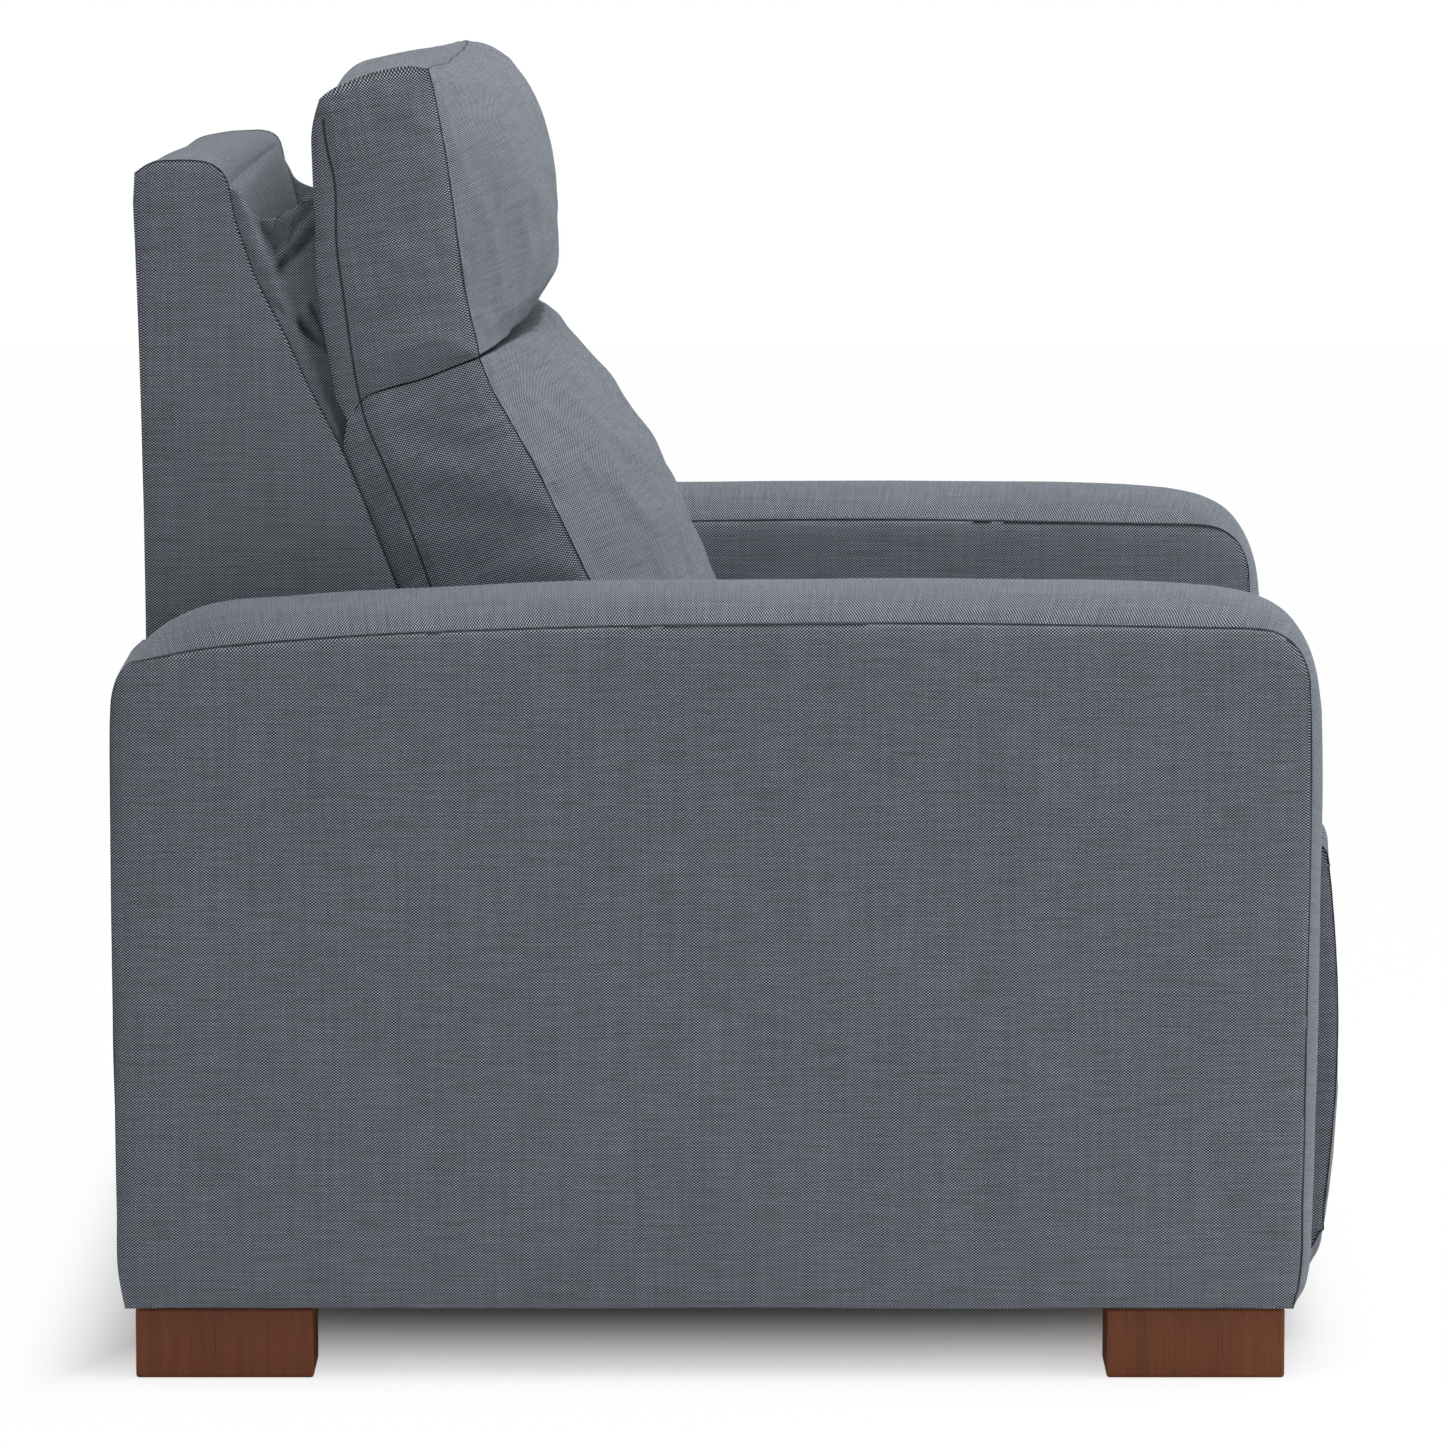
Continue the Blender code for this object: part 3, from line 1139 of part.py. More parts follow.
def make_headrest(back):
    """The headrest: a padded bag over a board, on a hinge bar with a lever for its own drive."""
    axis = make_axis("headrest_axis", HEADREST_AXIS, back)
    bar_x = (-FRAME_OUT + RUN, FRAME_OUT - RUN)
    bar_mesh = rod_mesh(HEADREST_AXIS, HINGE_BAR_RADIUS, bar_x)
    bar = finish("headrest_hinge_bar", bar_mesh, "zinc_steel", axis)
    lever_end = (HEADREST_AXIS[0] + HEADREST_LEVER, HEADREST_AXIS[1])
    lever_mesh = plate_mesh(capsule(HEADREST_AXIS, lever_end, HEADREST_LEVER_HALF), (-0.003, 0.003))
    weld_on(bar, tool("headrest_lever", lever_mesh))
    board_low = HEADREST_AXIS[1] + HEADREST_BOARD_DROP
    board_rear = headrest_line(board_low) - HEADREST_WADDING
    post = [
        (board_rear, board_low - GAP),
        (board_rear - PLY, board_low - GAP),
        (HEADREST_AXIS[0] - 0.8 * HINGE_BAR_RADIUS, HEADREST_AXIS[1]),
        (HEADREST_AXIS[0] + 0.7 * HINGE_BAR_RADIUS, HEADREST_AXIS[1]),
    ]
    half_post = HEADREST_POST / 2
    for side_name, side in SIDES:
        x = side * HEADREST_POST_AT
        weld_on(bar, tool("headrest_post_" + side_name, plate_mesh(post, (x - half_post, x + half_post))))

    def slab(low, high, slack):
        rear = HEADREST_WADDING - slack
        front = HEADREST_WADDING + PLY + slack
        return [
            (headrest_line(low) - rear, low),
            (headrest_line(high) - rear, high),
            (headrest_line(high) - front, high),
            (headrest_line(low) - front, low),
        ]

    board_x = (-HEADREST_BOARD_HALF, HEADREST_BOARD_HALF)
    plate("headrest_board", slab(board_low, HEADREST_BOARD_TOP, 0.0), board_x, "plywood", axis)

    cushion = make_headrest_cushion(axis)
    slot_x = (board_x[0] - GAP, board_x[1] + GAP)
    slot = plate_mesh(slab(HEADREST_AXIS[1] - BOARD, HEADREST_BOARD_TOP + GAP, GAP), slot_x)
    cut(cushion, tool("headrest_slot", slot))
    for side_name, side in SIDES:
        x = side * HEADREST_POST_AT
        room = box_mesh(
            (x - half_post - RUN, x + half_post + RUN),
            (HEADREST_AXIS[0] - 3 * PLY, HEADREST_AXIS[0] + 3 * PLY),
            (HEADREST_AXIS[1] - BOARD, board_low + GAP),
        )
        cut(cushion, tool("post_room_" + side_name, room))
    make_headrest_drive(back, lever_end)


def make_headrest_cushion(axis):
    bottom = HEADREST_AXIS[1] + HEADREST_BOTTOM
    height = HEADREST_TOP - bottom

    def in_front(height_share, depth):
        z = bottom + height_share * height
        return (headrest_line(z) - depth, z)

    rear = [in_front(share, 0.0) for share in (0.0, 0.30, 0.63, 0.79)]
    rear += [in_front(0.865, 0.069 * HEADREST_SIDE_DEPTH), in_front(0.908, 0.162 * HEADREST_SIDE_DEPTH)]
    seam = (
        (0.970, 0.494),
        (0.993, 0.851),
        (0.974, 0.975),
        (0.914, 0.948),
        (0.757, 0.977),
        (0.592, 0.997),
        (0.391, 1.016),
        (0.253, 1.070),
    )
    bow = (
        (0.980, 0.290),
        (1.000, 0.498),
        (0.993, 0.708),
        (0.914, 0.875),
        (0.743, 0.975),
        (0.563, 1.000),
        (0.415, 0.976),
        (0.319, 0.919),
        (0.266, 0.827),
    )
    underside = [
        *[crease(share, CREASE_GAP) for share in (0.50, 0.25)],
        (CREASE_REAR[0] - 2 * CREASE_GAP, CREASE_REAR[1] + 0.7 * CREASE_GAP),
        in_front(0.0, 0.138 * HEADREST_SIDE_DEPTH),
    ]
    edge = [
        *rear,
        *[in_front(share, HEADREST_SIDE_DEPTH * depth) for share, depth in seam],
        crease(1.00, 3 * CREASE_GAP),
        crease(0.75, CREASE_GAP),
        *underside,
    ]
    lip = crease(0.75)
    middle = [
        *rear,
        *[in_front(share, HEADREST_DEPTH * depth) for share, depth in bow],
        (lip[0] - CREASE_REACH, lip[1] + CREASE_ROLL + CREASE_GAP),
        *underside,
    ]
    return crowned("headrest_cushion", edge, middle, BACK_HALF, "slate_tweed", axis, power=3.0)


def make_headrest_drive(back, lever_end):
    """An upright drive on the back's shelf whose rod pushes the headrest's lever."""
    drive_y = lever_end[0]
    width, depth, height = HEADREST_DRIVE
    shelf_top = SHELF_AT + SHELF
    body = box(
        "headrest_drive",
        (-width / 2, width / 2),
        (drive_y - depth / 2, drive_y + depth / 2),
        (shelf_top + GAP, shelf_top + height),
        "black_plastic",
        back,
    )
    sleeve_z = (shelf_top + height - SLEEVE_RADIUS, SLEEVE_TOP)
    weld_on(body, tool("headrest_sleeve", upright_rod_mesh((0.0, drive_y), SLEEVE_RADIUS, sleeve_z)))
    rod_length = 1.6 * HEADREST_LEVER
    rod_top = HEADREST_AXIS[1] - HEADREST_LEVER_HALF - RUN
    bore_z = (rod_top - rod_length - HEADREST_LEVER / 2, SLEEVE_TOP + SLEEVE_RADIUS)
    bore = upright_rod_mesh((0.0, drive_y), ROD_RADIUS + 0.0007, bore_z, SMALL_ROUND)
    cut(body, tool("headrest_sleeve_bore", bore))
    rod_axis = make_axis("headrest_rod_axis", (0.0, drive_y, rod_top), back)
    cap_z = (rod_top - ROD_CAP, rod_top)
    rod_z = (rod_top - rod_length, rod_top - ROD_CAP / 2)
    piston_mesh = upright_rod_mesh((0.0, drive_y), ROD_RADIUS, rod_z, SMALL_ROUND)
    piston = finish("headrest_rod", piston_mesh, "zinc_steel", rod_axis)
    weld_on(piston, tool("headrest_rod_cap", upright_rod_mesh((0.0, drive_y), ROD_CAP, cap_z, SMALL_ROUND)))


def main():
    clear_scene()
    base = make_axis("base", (0.0, 0.0, 0.0))
    carriage = make_axis("carriage", (0.0, 0.0, CHANNEL_BOTTOM), base)
    back = make_axis("recline_axis", RECLINE_AXIS, carriage)
    make_arms(base)
    make_base(base)
    make_controls(base)
    make_carriage(carriage)
    make_legrest(carriage)
    make_drives(carriage)
    make_back(back)
    make_headrest(back)


main()
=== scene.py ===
"""Looks of a power recliner: tweed covers and cushions, walnut feet, and the works under the seat."""

import json
import math

import bpy
import numpy as np
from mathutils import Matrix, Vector, noise
from mathutils.kdtree import KDTree


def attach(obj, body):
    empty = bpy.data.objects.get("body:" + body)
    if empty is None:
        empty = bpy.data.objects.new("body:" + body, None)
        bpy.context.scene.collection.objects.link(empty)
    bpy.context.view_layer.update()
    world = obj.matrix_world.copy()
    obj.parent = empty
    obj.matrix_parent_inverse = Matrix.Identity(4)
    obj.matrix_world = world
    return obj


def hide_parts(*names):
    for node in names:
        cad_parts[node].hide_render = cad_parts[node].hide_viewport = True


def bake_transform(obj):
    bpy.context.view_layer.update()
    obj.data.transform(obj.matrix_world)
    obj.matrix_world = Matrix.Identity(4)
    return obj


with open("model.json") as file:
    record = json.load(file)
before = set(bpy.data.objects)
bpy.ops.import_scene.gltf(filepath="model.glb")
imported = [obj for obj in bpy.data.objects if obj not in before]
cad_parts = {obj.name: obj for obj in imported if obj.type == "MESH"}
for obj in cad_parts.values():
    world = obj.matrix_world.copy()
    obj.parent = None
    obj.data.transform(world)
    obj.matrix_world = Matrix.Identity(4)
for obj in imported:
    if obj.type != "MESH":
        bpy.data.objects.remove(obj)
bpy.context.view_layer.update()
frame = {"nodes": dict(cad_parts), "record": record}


def chained(*lines):
    """An outline's four lines, each carried on to where the next one starts."""
    return [line + following[:1] for line, following in zip(lines, lines[1:] + lines[:1])]


# Cloth
WARP_PITCH = 0.00142
WEFT_PITCH = 0.00113
STITCH_HALF = 0.0006
STITCH_SHARPNESS = 1100.0
SEAM_DEPTH = 0.0022
EDGE_ROUND = 0.0032
SEAM_HOLD = 0.9

# Sections of a cover's strip, and its side panels
REAR, TOP, FRONT, FOOT, RIGHT_PANEL, LEFT_PANEL = range(6)

# Cloth simulation, and what is kept of the movement it gives
CLOTH_STIFFNESS = {"tension": 25, "compression": 25, "shear": 8, "bending": 0.6, "pin": 1.0}
CLOTH_QUALITY = 5
CLOTH_MASS = 0.3
CLOTH_FRAMES = 16
BROAD_ROUNDS = 9
WRINKLE_SHARE = 0.55
PUFF_SHARE = 0.12
WRINKLE_LIMIT = 0.008

# Arms: outlines are (y, z) points seen from the side
ARM_OUTER = 0.4445
ARM_INNER = 0.3052
ARM_UPRIGHT, ARM_LEVEL = 60, 96
ARM_REAR_EDGE = [
    (0.5045, 0.06), (0.5095, 0.088), (0.51, 0.14), (0.512, 0.3), (0.5125, 0.47), (0.512, 0.54),
]
ARM_REAR_CORNER = [(0.512, 0.54), (0.51, 0.564), (0.504, 0.581), (0.495, 0.59)]
ARM_TOP_EDGE = [
    (0.495, 0.59), (0.42, 0.6005), (0.334, 0.608), (0.2, 0.6145), (0.069, 0.618), (-0.107, 0.62),
    (-0.284, 0.618), (-0.37, 0.6165), (-0.405, 0.616),
]
ARM_CORNER = [(-0.405, 0.616), (-0.426, 0.613), (-0.442, 0.602), (-0.45, 0.584), (-0.4525, 0.56)]
ARM_FRONT_EDGE = [
    (-0.4525, 0.56), (-0.454, 0.478), (-0.453, 0.315), (-0.451, 0.15), (-0.4495, 0.085), (-0.445, 0.06),
]
ARM_FOOT = [(-0.445, 0.06), (0.0, 0.06), (0.5045, 0.06)]
ARM_TOP_MIDDLE = [
    (0.495, 0.59), (0.478, 0.607), (0.451, 0.622), (0.362, 0.634), (0.25, 0.641), (0.135, 0.646),
    (0.005, 0.6475), (-0.125, 0.648), (-0.22, 0.6477), (-0.287, 0.647), (-0.35, 0.6445), (-0.385, 0.6415),
]
ARM_CORNER_MIDDLE = [
    (-0.385, 0.6415), (-0.414, 0.635), (-0.438, 0.622), (-0.4535, 0.602), (-0.4625, 0.577), (-0.467, 0.545),
]
ARM_FRONT_MIDDLE = [
    (-0.467, 0.545), (-0.4685, 0.478), (-0.468, 0.351), (-0.4655, 0.2), (-0.463, 0.119), (-0.4605, 0.082),
    (-0.456, 0.067), (-0.447, 0.06),
]
ARM_PAD = 0.0035
INNER_WADDING = 0.35

# Button panel on the inner side of the sitter's right arm, as (y, z)
PANEL_MIDDLE = (-0.29, 0.565)
PANEL_HALF = (0.064, 0.017)
PANEL_MARGIN = 0.030
PANEL_CLEARANCE = 0.0004

# Back: the upright shell, with its leaning front edge
OUTER_EDGE = chained(
    [(0.482, 0.322), (0.489, 0.4), (0.492, 0.625), (0.494, 0.811), (0.496, 0.903)],
    [(0.4985, 0.973), (0.484, 0.981), (0.466, 0.9828), (0.452, 0.9828), (0.438, 0.9803), (0.429, 0.974)],
    [
        (0.4245, 0.966), (0.4225, 0.9585), (0.4195, 0.94), (0.411, 0.913), (0.401, 0.8855),
        (0.3868, 0.858), (0.3747, 0.834), (0.3627, 0.807), (0.3325, 0.7476), (0.2855, 0.631),
        (0.236, 0.508),
    ],
    [(0.1965, 0.41), (0.25, 0.362), (0.3, 0.331), (0.345, 0.322), (0.42, 0.322)],
)
OUTER_REAR_MIDDLE = [
    (0.482, 0.322), (0.492, 0.4), (0.4955, 0.625), (0.497, 0.811), (0.4985, 0.903), (0.499, 0.966),
]
OUTER_TOP_MIDDLE = [
    (0.499, 0.966), (0.4955, 0.9735), (0.486, 0.979), (0.466, 0.9825), (0.45, 0.9825), (0.436, 0.9795),
    (0.4275, 0.973), (0.4235, 0.966),
]
OUTER_MIDDLE = [OUTER_REAR_MIDDLE, OUTER_TOP_MIDDLE, *OUTER_EDGE[FRONT:]]
BACK_HALF = 0.2955
BACK_LEAN = 0.404

# Cushions, at their side panels and in the middle of their width
HEAD_EDGE = chained(
    [
        (0.326, 0.77), (0.3335, 0.786), (0.3385, 0.813), (0.3445, 0.848), (0.349, 0.88), (0.35, 0.929),
        (0.352, 0.975), (0.352, 1.01),
    ],
    [(0.348, 1.033), (0.33, 1.041), (0.305, 1.051), (0.28, 1.056)],
    [(0.259, 1.057), (0.255, 1.037), (0.246, 0.989), (0.239, 0.939), (0.231, 0.878), (0.223, 0.842)],
    [(0.2175, 0.8235), (0.242, 0.8137), (0.267, 0.804), (0.291, 0.7977), (0.312, 0.789)],
)
HEAD_MIDDLE = chained(
    [
        (0.322, 0.778), (0.333, 0.792), (0.342, 0.82), (0.347, 0.87), (0.349, 0.929), (0.35, 0.965),
        (0.35, 0.995),
    ],
    [(0.348, 1.018), (0.338, 1.039), (0.306, 1.053), (0.268, 1.061)],
    [
        (0.238, 1.063), (0.214, 1.057), (0.193, 1.037), (0.175, 1.006), (0.163, 0.963), (0.159, 0.924),
        (0.159, 0.889), (0.166, 0.858),
    ],
    [
        (0.177, 0.84), (0.19, 0.829), (0.205, 0.8215), (0.232, 0.8155), (0.267, 0.804), (0.291, 0.7977),
        (0.312, 0.789),
    ],
)
LUMBAR_REAR = [(0.228, 0.488), (0.285, 0.63), (0.309, 0.69), (0.3225, 0.724), (0.328, 0.745)]
LUMBAR_SHOULDER = [(0.3262, 0.7702), (0.311, 0.789), (0.291, 0.7962), (0.267, 0.8025)]
LUMBAR_EDGE = chained(
    LUMBAR_REAR,
    [*LUMBAR_SHOULDER, (0.242, 0.8122)],
    [
        (0.2175, 0.8215), (0.211, 0.8), (0.196, 0.772), (0.172, 0.728), (0.151, 0.683), (0.131, 0.641),
        (0.095, 0.566), (0.066, 0.506),
    ],
    [(0.062, 0.488), (0.11, 0.487), (0.17, 0.487)],
)
LUMBAR_MIDDLE = chained(
    LUMBAR_REAR,
    [*LUMBAR_SHOULDER, (0.232, 0.814), (0.205, 0.8195), (0.19, 0.826)],
    [
        (0.172, 0.8355), (0.164, 0.8285), (0.149, 0.811), (0.128, 0.788), (0.096, 0.75), (0.069, 0.708),
        (0.053, 0.682), (0.041, 0.647), (0.023, 0.604), (0.003, 0.55), (-0.01, 0.506),
    ],
    [(-0.002, 0.489), (0.06, 0.487), (0.15, 0.487)],
)

# Soft folds on the cushions' side panels: start, end, width and depth
HEAD_FOLDS = [
    ((0.345, 0.985), (0.3, 0.88), 0.012, 0.0022),
    ((0.34, 0.93), (0.262, 0.9), 0.014, -0.002),
    ((0.325, 0.85), (0.235, 0.868), 0.011, 0.002),
    ((0.33, 0.88), (0.245, 0.965), 0.015, 0.0022),
    ((0.318, 0.815), (0.25, 0.842), 0.01, -0.002),
]
LUMBAR_FOLDS = [
    ((0.3, 0.765), (0.215, 0.745), 0.013, 0.0026),
    ((0.285, 0.735), (0.18, 0.715), 0.013, -0.0024),
    ((0.262, 0.69), (0.165, 0.69), 0.012, 0.0022),
    ((0.225, 0.65), (0.145, 0.655), 0.012, -0.0018),
]

# Stitched line in front of the cushions' rear band
BAND_LINE = [
    (0.3455, 1.03), (0.342, 0.996), (0.336, 0.969), (0.334, 0.912), (0.328, 0.867), (0.323, 0.83),
    (0.317, 0.793), (0.312, 0.772), (0.298, 0.738), (0.271, 0.67), (0.258, 0.632), (0.232, 0.57),
    (0.206, 0.508),
]
BAND_SINK = 0.0016
BAND_TOP = 1.020

# Gusset between the outer back and the headrest
GUSSET_HALF = 0.2865
GUSSET_THICKNESS = 0.0011
GUSSET_ROWS, GUSSET_COLUMNS, GUSSET_ACROSS = 72, 52, 66
GUSSET_FOOT = [(0.338, 0.735), (0.327, 0.7345), (0.316, 0.735)]
GUSSET_REAR = [
    (0.338, 0.735), (0.3435, 0.7476), (0.3727, 0.807), (0.3847, 0.834), (0.3958, 0.858), (0.4085, 0.8855),
    (0.417, 0.913), (0.423, 0.94), (0.4245, 0.9605),
]
GUSSET_FRONT = [(0.316, 0.735), (0.317, 0.77), (0.332, 0.813), (0.338, 0.864), (0.339, 0.93), (0.343, 0.955)]
GUSSET_HEM = [
    (0.4245, 0.9605), (0.415, 0.959), (0.4072, 0.945), (0.3985, 0.9355), (0.3838, 0.937), (0.3724, 0.943),
    (0.3543, 0.9525), (0.343, 0.955),
]
GUSSET_TROUGH = [
    (0.4245, 0.9605), (0.414, 0.959), (0.406, 0.944), (0.3955, 0.906), (0.382, 0.87), (0.368, 0.841),
    (0.3595, 0.83), (0.355, 0.842), (0.3548, 0.87), (0.355, 0.91), (0.343, 0.95),
]
# Creases in the gusset: line, width and depth
GUSSET_FOLDS = [
    ([(0.3901, 0.9054), (0.3763, 0.9201), (0.3652, 0.9347), (0.3542, 0.9466)], 0.003, 0.013),
    ([(0.3908, 0.8831), (0.3783, 0.8981), (0.3654, 0.9109), (0.3516, 0.9256)], 0.0042, 0.018),
    ([(0.3815, 0.8597), (0.3759, 0.8532), (0.3659, 0.845), (0.3531, 0.8349), (0.3415, 0.828)], 0.003, 0.011),
    ([(0.3557, 0.8642), (0.3476, 0.845), (0.3415, 0.828)], 0.0026, 0.009),
    ([(0.367, 0.8486), (0.3635, 0.8303), (0.355, 0.8083), (0.343, 0.783)], 0.0034, 0.012),
    ([(0.401, 0.9237), (0.3928, 0.9164), (0.384, 0.919)], 0.0075, 0.014),
]

# Seat, footrest and rear panel
SEAT_HALF = 0.2955
SEAT_NOSE = -0.4785
SEAT_NOSE_RADIUS = 0.024
SLACK_WAVES = (0.035, 0.035, 0.035)
FOOTREST_ENDS = (0.4435, 0.0535)
FOOTREST_RADIUS = 0.018
REAR_PANEL_HALF = 0.3043
REAR_PANEL_Y = (0.494, 0.51)
INLET_AT = (0.18, 0.12)
INLET_MARGIN = 0.035

# Camera and light
CAMERA_AT = (-6.7486, 0.019, 1.40698)
CAMERA_PITCH = math.radians(7.8228)
CAMERA_LENS = 197.10
SENSOR_WIDTH = 36.0
FLOOR_REACH = 9.0
QUARTERS = ((-1, -1), (1, -1), (1, 1), (-1, 1))
WHITE = (1.0, 1.0, 1.0, 1.0)


# Lines and grids


def graded(count, grade=0.6):
    """Shares from 0 to 1. A grade over 0 packs them towards both ends."""
    even = np.linspace(0.0, 1.0, count + 1)
    return even - grade * np.sin(2 * math.pi * even) / (2 * math.pi)


def lengths(line):
    """How far along a line each of its points lies."""
    return np.concatenate([[0.0], np.cumsum(np.linalg.norm(np.diff(line, axis=0), axis=1))])


def smooth_line(points, count, grade=0.0):
    """Points along a smooth curve through a few measured ones."""
    knots = np.array(points, float)
    along = lengths(knots)
    slopes = np.gradient(knots, along, axis=0)
    fine = np.linspace(0.0, along[-1], 60 * len(knots))
    i = np.clip(np.searchsorted(along, fine, side="right") - 1, 0, len(knots) - 2)
    span = np.linalg.norm(np.diff(knots, axis=0), axis=1)[i][:, None]
    s = (fine - along[i])[:, None] / span
    curve = (2 * s**3 - 3 * s**2 + 1) * knots[i] + (s**3 - 2 * s**2 + s) * span * slopes[i]
    curve += (-2 * s**3 + 3 * s**2) * knots[i + 1] + (s**3 - s**2) * span * slopes[i + 1]
    run = lengths(curve)
    share = graded(count, grade)
    return np.stack([np.interp(share * run[-1], run, curve[:, k]) for k in range(2)], axis=1)


def ramp(values, start, length):
    """0 up to start, then rising to 1 over a length."""
    return np.clip((values - start) / length, 0, 1)


def eased(share):
    """A share from 0 to 1 that starts and ends gently."""
    return share * share * (3 - 2 * share)


def nearest(points, line):
    """Distance to the nearest point of a line, and how far along the line that point lies."""
    fine = np.linspace(0.0, 1.0, 30 * len(line))
    run = lengths(line)
    dense = np.stack([np.interp(fine * run[-1], run, line[:, k]) for k in range(3)], axis=1)
    tree = KDTree(len(dense))
    for i, p in enumerate(dense):
        tree.insert(p, i)
    tree.balance()
    found = [tree.find(p) for p in points]
    return np.array([f[2] for f in found]), np.array([fine[f[1]] * run[-1] for f in found])


def ripple(points, scale, seed):
    """Smooth noise from -1 to 1 with bumps about as wide as scale. scale may differ along each axis."""
    at = np.asarray(points, float) / np.asarray(scale, float) + 17.3 * seed
    return np.array([noise.noise(Vector(p)) for p in at])


def coons(foot, top, rear, front):
    """A four-sided patch inside its borders. Rows run from foot to top, columns from rear to front."""
    v = np.linspace(0.0, 1.0, len(rear))[:, None, None]
    u = np.linspace(0.0, 1.0, len(foot))[None, :, None]
    flat = (1 - v) * foot[None] + v * top[None] + (1 - u) * rear[:, None] + u * front[:, None]
    corners = (1 - v) * ((1 - u) * foot[0] + u * foot[-1]) + v * ((1 - u) * top[0] + u * top[-1])
    return flat - corners


# Stuffed pieces


class Cover:
    """A closed skin: two side panels, and a strip between them that runs round the side panels' edge."""

    def __init__(self, name, edge, middle, x_left, x_right, across, power, pad):
        self.name = name
        self.upright, self.level = len(edge[0]) - 1, len(edge[1]) - 1
        outline = np.concatenate([side[:-1] for side in edge])
        crown = np.concatenate([side[:-1] for side in middle])
        self.around = len(outline)
        self.sections = np.repeat(np.arange(4), [self.upright, self.level] * 2)
        self.across = across
        shares = graded(across)
        self.stations = x_left + (x_right - x_left) * shares
        rise = 1.0 - np.abs(2.0 * shares - 1.0) ** power
        rings = outline[None] + rise[:, None, None] * (crown - outline)[None]
        x = np.broadcast_to(self.stations[:, None, None], (across + 1, self.around, 1))
        run = lengths(np.concatenate([crown, crown[:1]]))
        points = list(np.concatenate([x, rings], axis=2).reshape(-1, 3))
        faces, panels, cloth = [], [], []
        for r in range(across):
            for i in range(self.around):
                j = (i + 1) % self.around
                a, b = r * self.around, (r + 1) * self.around
                faces.append((a + i, b + i, b + j, a + j))
                panels.append(self.sections[i])
                low, high = self.stations[r], self.stations[r + 1]
                cloth.append(((low, run[i]), (high, run[i]), (high, run[i + 1]), (low, run[i + 1])))
        for side, ring in ((-1, 0), (1, across)):
            self.close_side(points, faces, panels, cloth, side, ring, outline, pad)
        self.points = np.array(points)
        self.faces = faces
        self.panels = np.array(panels)
        self.cloth = np.array(cloth)

    def close_side(self, points, faces, panels, cloth, side, ring, outline, pad):
        """Closes one side with a panel that swells by pad."""
        n, m = self.upright, self.level
        loop = np.arange(self.around)
        rear = loop[: n + 1]
        top = loop[n : n + m + 1]
        front = loop[n + m : 2 * n + m + 1][::-1]
        foot = np.append(loop[2 * n + m :], 0)[::-1]
        patch = coons(outline[foot], outline[top], outline[rear], outline[front])
        rows, columns = n + 1, m + 1
        index = np.full((rows, columns), -1)
        index[:, 0], index[:, -1] = rear, front
        index[0, :], index[-1, :] = foot, top
        index[index >= 0] += ring * self.around
        inside = patch[1:-1, 1:-1].reshape(-1, 2)
        gap = np.array([np.min(np.hypot(*(outline - p).T)) for p in inside])
        x = self.stations[ring] + side * pad * (1.0 - np.exp(-gap / 0.016))
        start = len(points)
        points.extend(np.column_stack([x, inside]))
        index[1:-1, 1:-1] = start + np.arange(len(inside)).reshape(rows - 2, columns - 2)
        for r in range(rows - 1):
            for c in range(columns - 1):
                corners = [(r, c), (r, c + 1), (r + 1, c + 1), (r + 1, c)]
                if side > 0:
                    corners.reverse()
                faces.append(tuple(index[k] for k in corners))
                panels.append(RIGHT_PANEL if side < 0 else LEFT_PANEL)
                cloth.append([(side * patch[k][0], patch[k][1]) for k in corners])

    def border(self, side, *sections):
        """Vertex numbers along the edge of a side panel, for sections that follow each other."""
        ring = 0 if side < 0 else self.across
        chosen = np.flatnonzero(np.isin(self.sections, sections))
        last = (chosen[-1] + 1) % self.around
        return ring * self.around + np.append(chosen, last)

    def borders(self, *sections):
        """The same for both side panels, the sitter's right first."""
        return [self.border(end, *sections) for end in (-1, 1)]

    def seams(self, *sections):
        """The two edges as lines of points."""
        return [self.points[border] for border in self.borders(*sections)]

    def press_edges(self, depth, *sections, ease=5):
        """Presses in the edges of both side panels."""
        for border in self.borders(*sections):
            self.press_in(border, depth, ease)

    def hold(self, *sections):
        """How firmly the cloth is held at each vertex, which is nearly fast along both edges."""
        held = np.zeros(len(self.points))
        for border in self.borders(*sections):
            held[border] = SEAM_HOLD
        return held

    def across_top(self):
        """Vertex numbers from one side panel to the other, where the top ends and the front begins."""
        return np.arange(self.across + 1) * self.around + self.upright + self.level

    def neighbours(self):
        """Pairs of vertices that share an edge."""
        edges = {tuple(sorted((f[k], f[(k + 1) % 4]))) for f in self.faces for k in range(4)}
        return np.array(sorted(edges))

    def normals(self):
        """Outward directions at the vertices."""
        quads = np.array(self.faces)
        p = self.points
        face = np.cross(p[quads[:, 2]] - p[quads[:, 0]], p[quads[:, 3]] - p[quads[:, 1]])
        total = np.zeros_like(p)
        for k in range(4):
            np.add.at(total, quads[:, k], face)
        return total / np.maximum(np.linalg.norm(total, axis=1), 1e-12)[:, None]

    def turn_cloth(self, angle):
        """Lays the side panels' cloth with its threads at an angle, mirrored from one to the other."""
        for panel, turn in ((RIGHT_PANEL, -angle), (LEFT_PANEL, angle)):
            c, s = math.cos(turn), math.sin(turn)
            chosen = self.panels == panel
            self.cloth[chosen] = self.cloth[chosen] @ np.array([[c, s], [-s, c]])

    def press_in(self, chosen, depth, ease=5):
        """Moves a run of vertices inward along their normals, less so towards its two ends."""
        steps = np.arange(len(chosen))
        share = np.clip(np.minimum(steps, steps[::-1]) / ease, 0, 1)[:, None]
        self.points[chosen] -= self.normals()[chosen] * depth * share


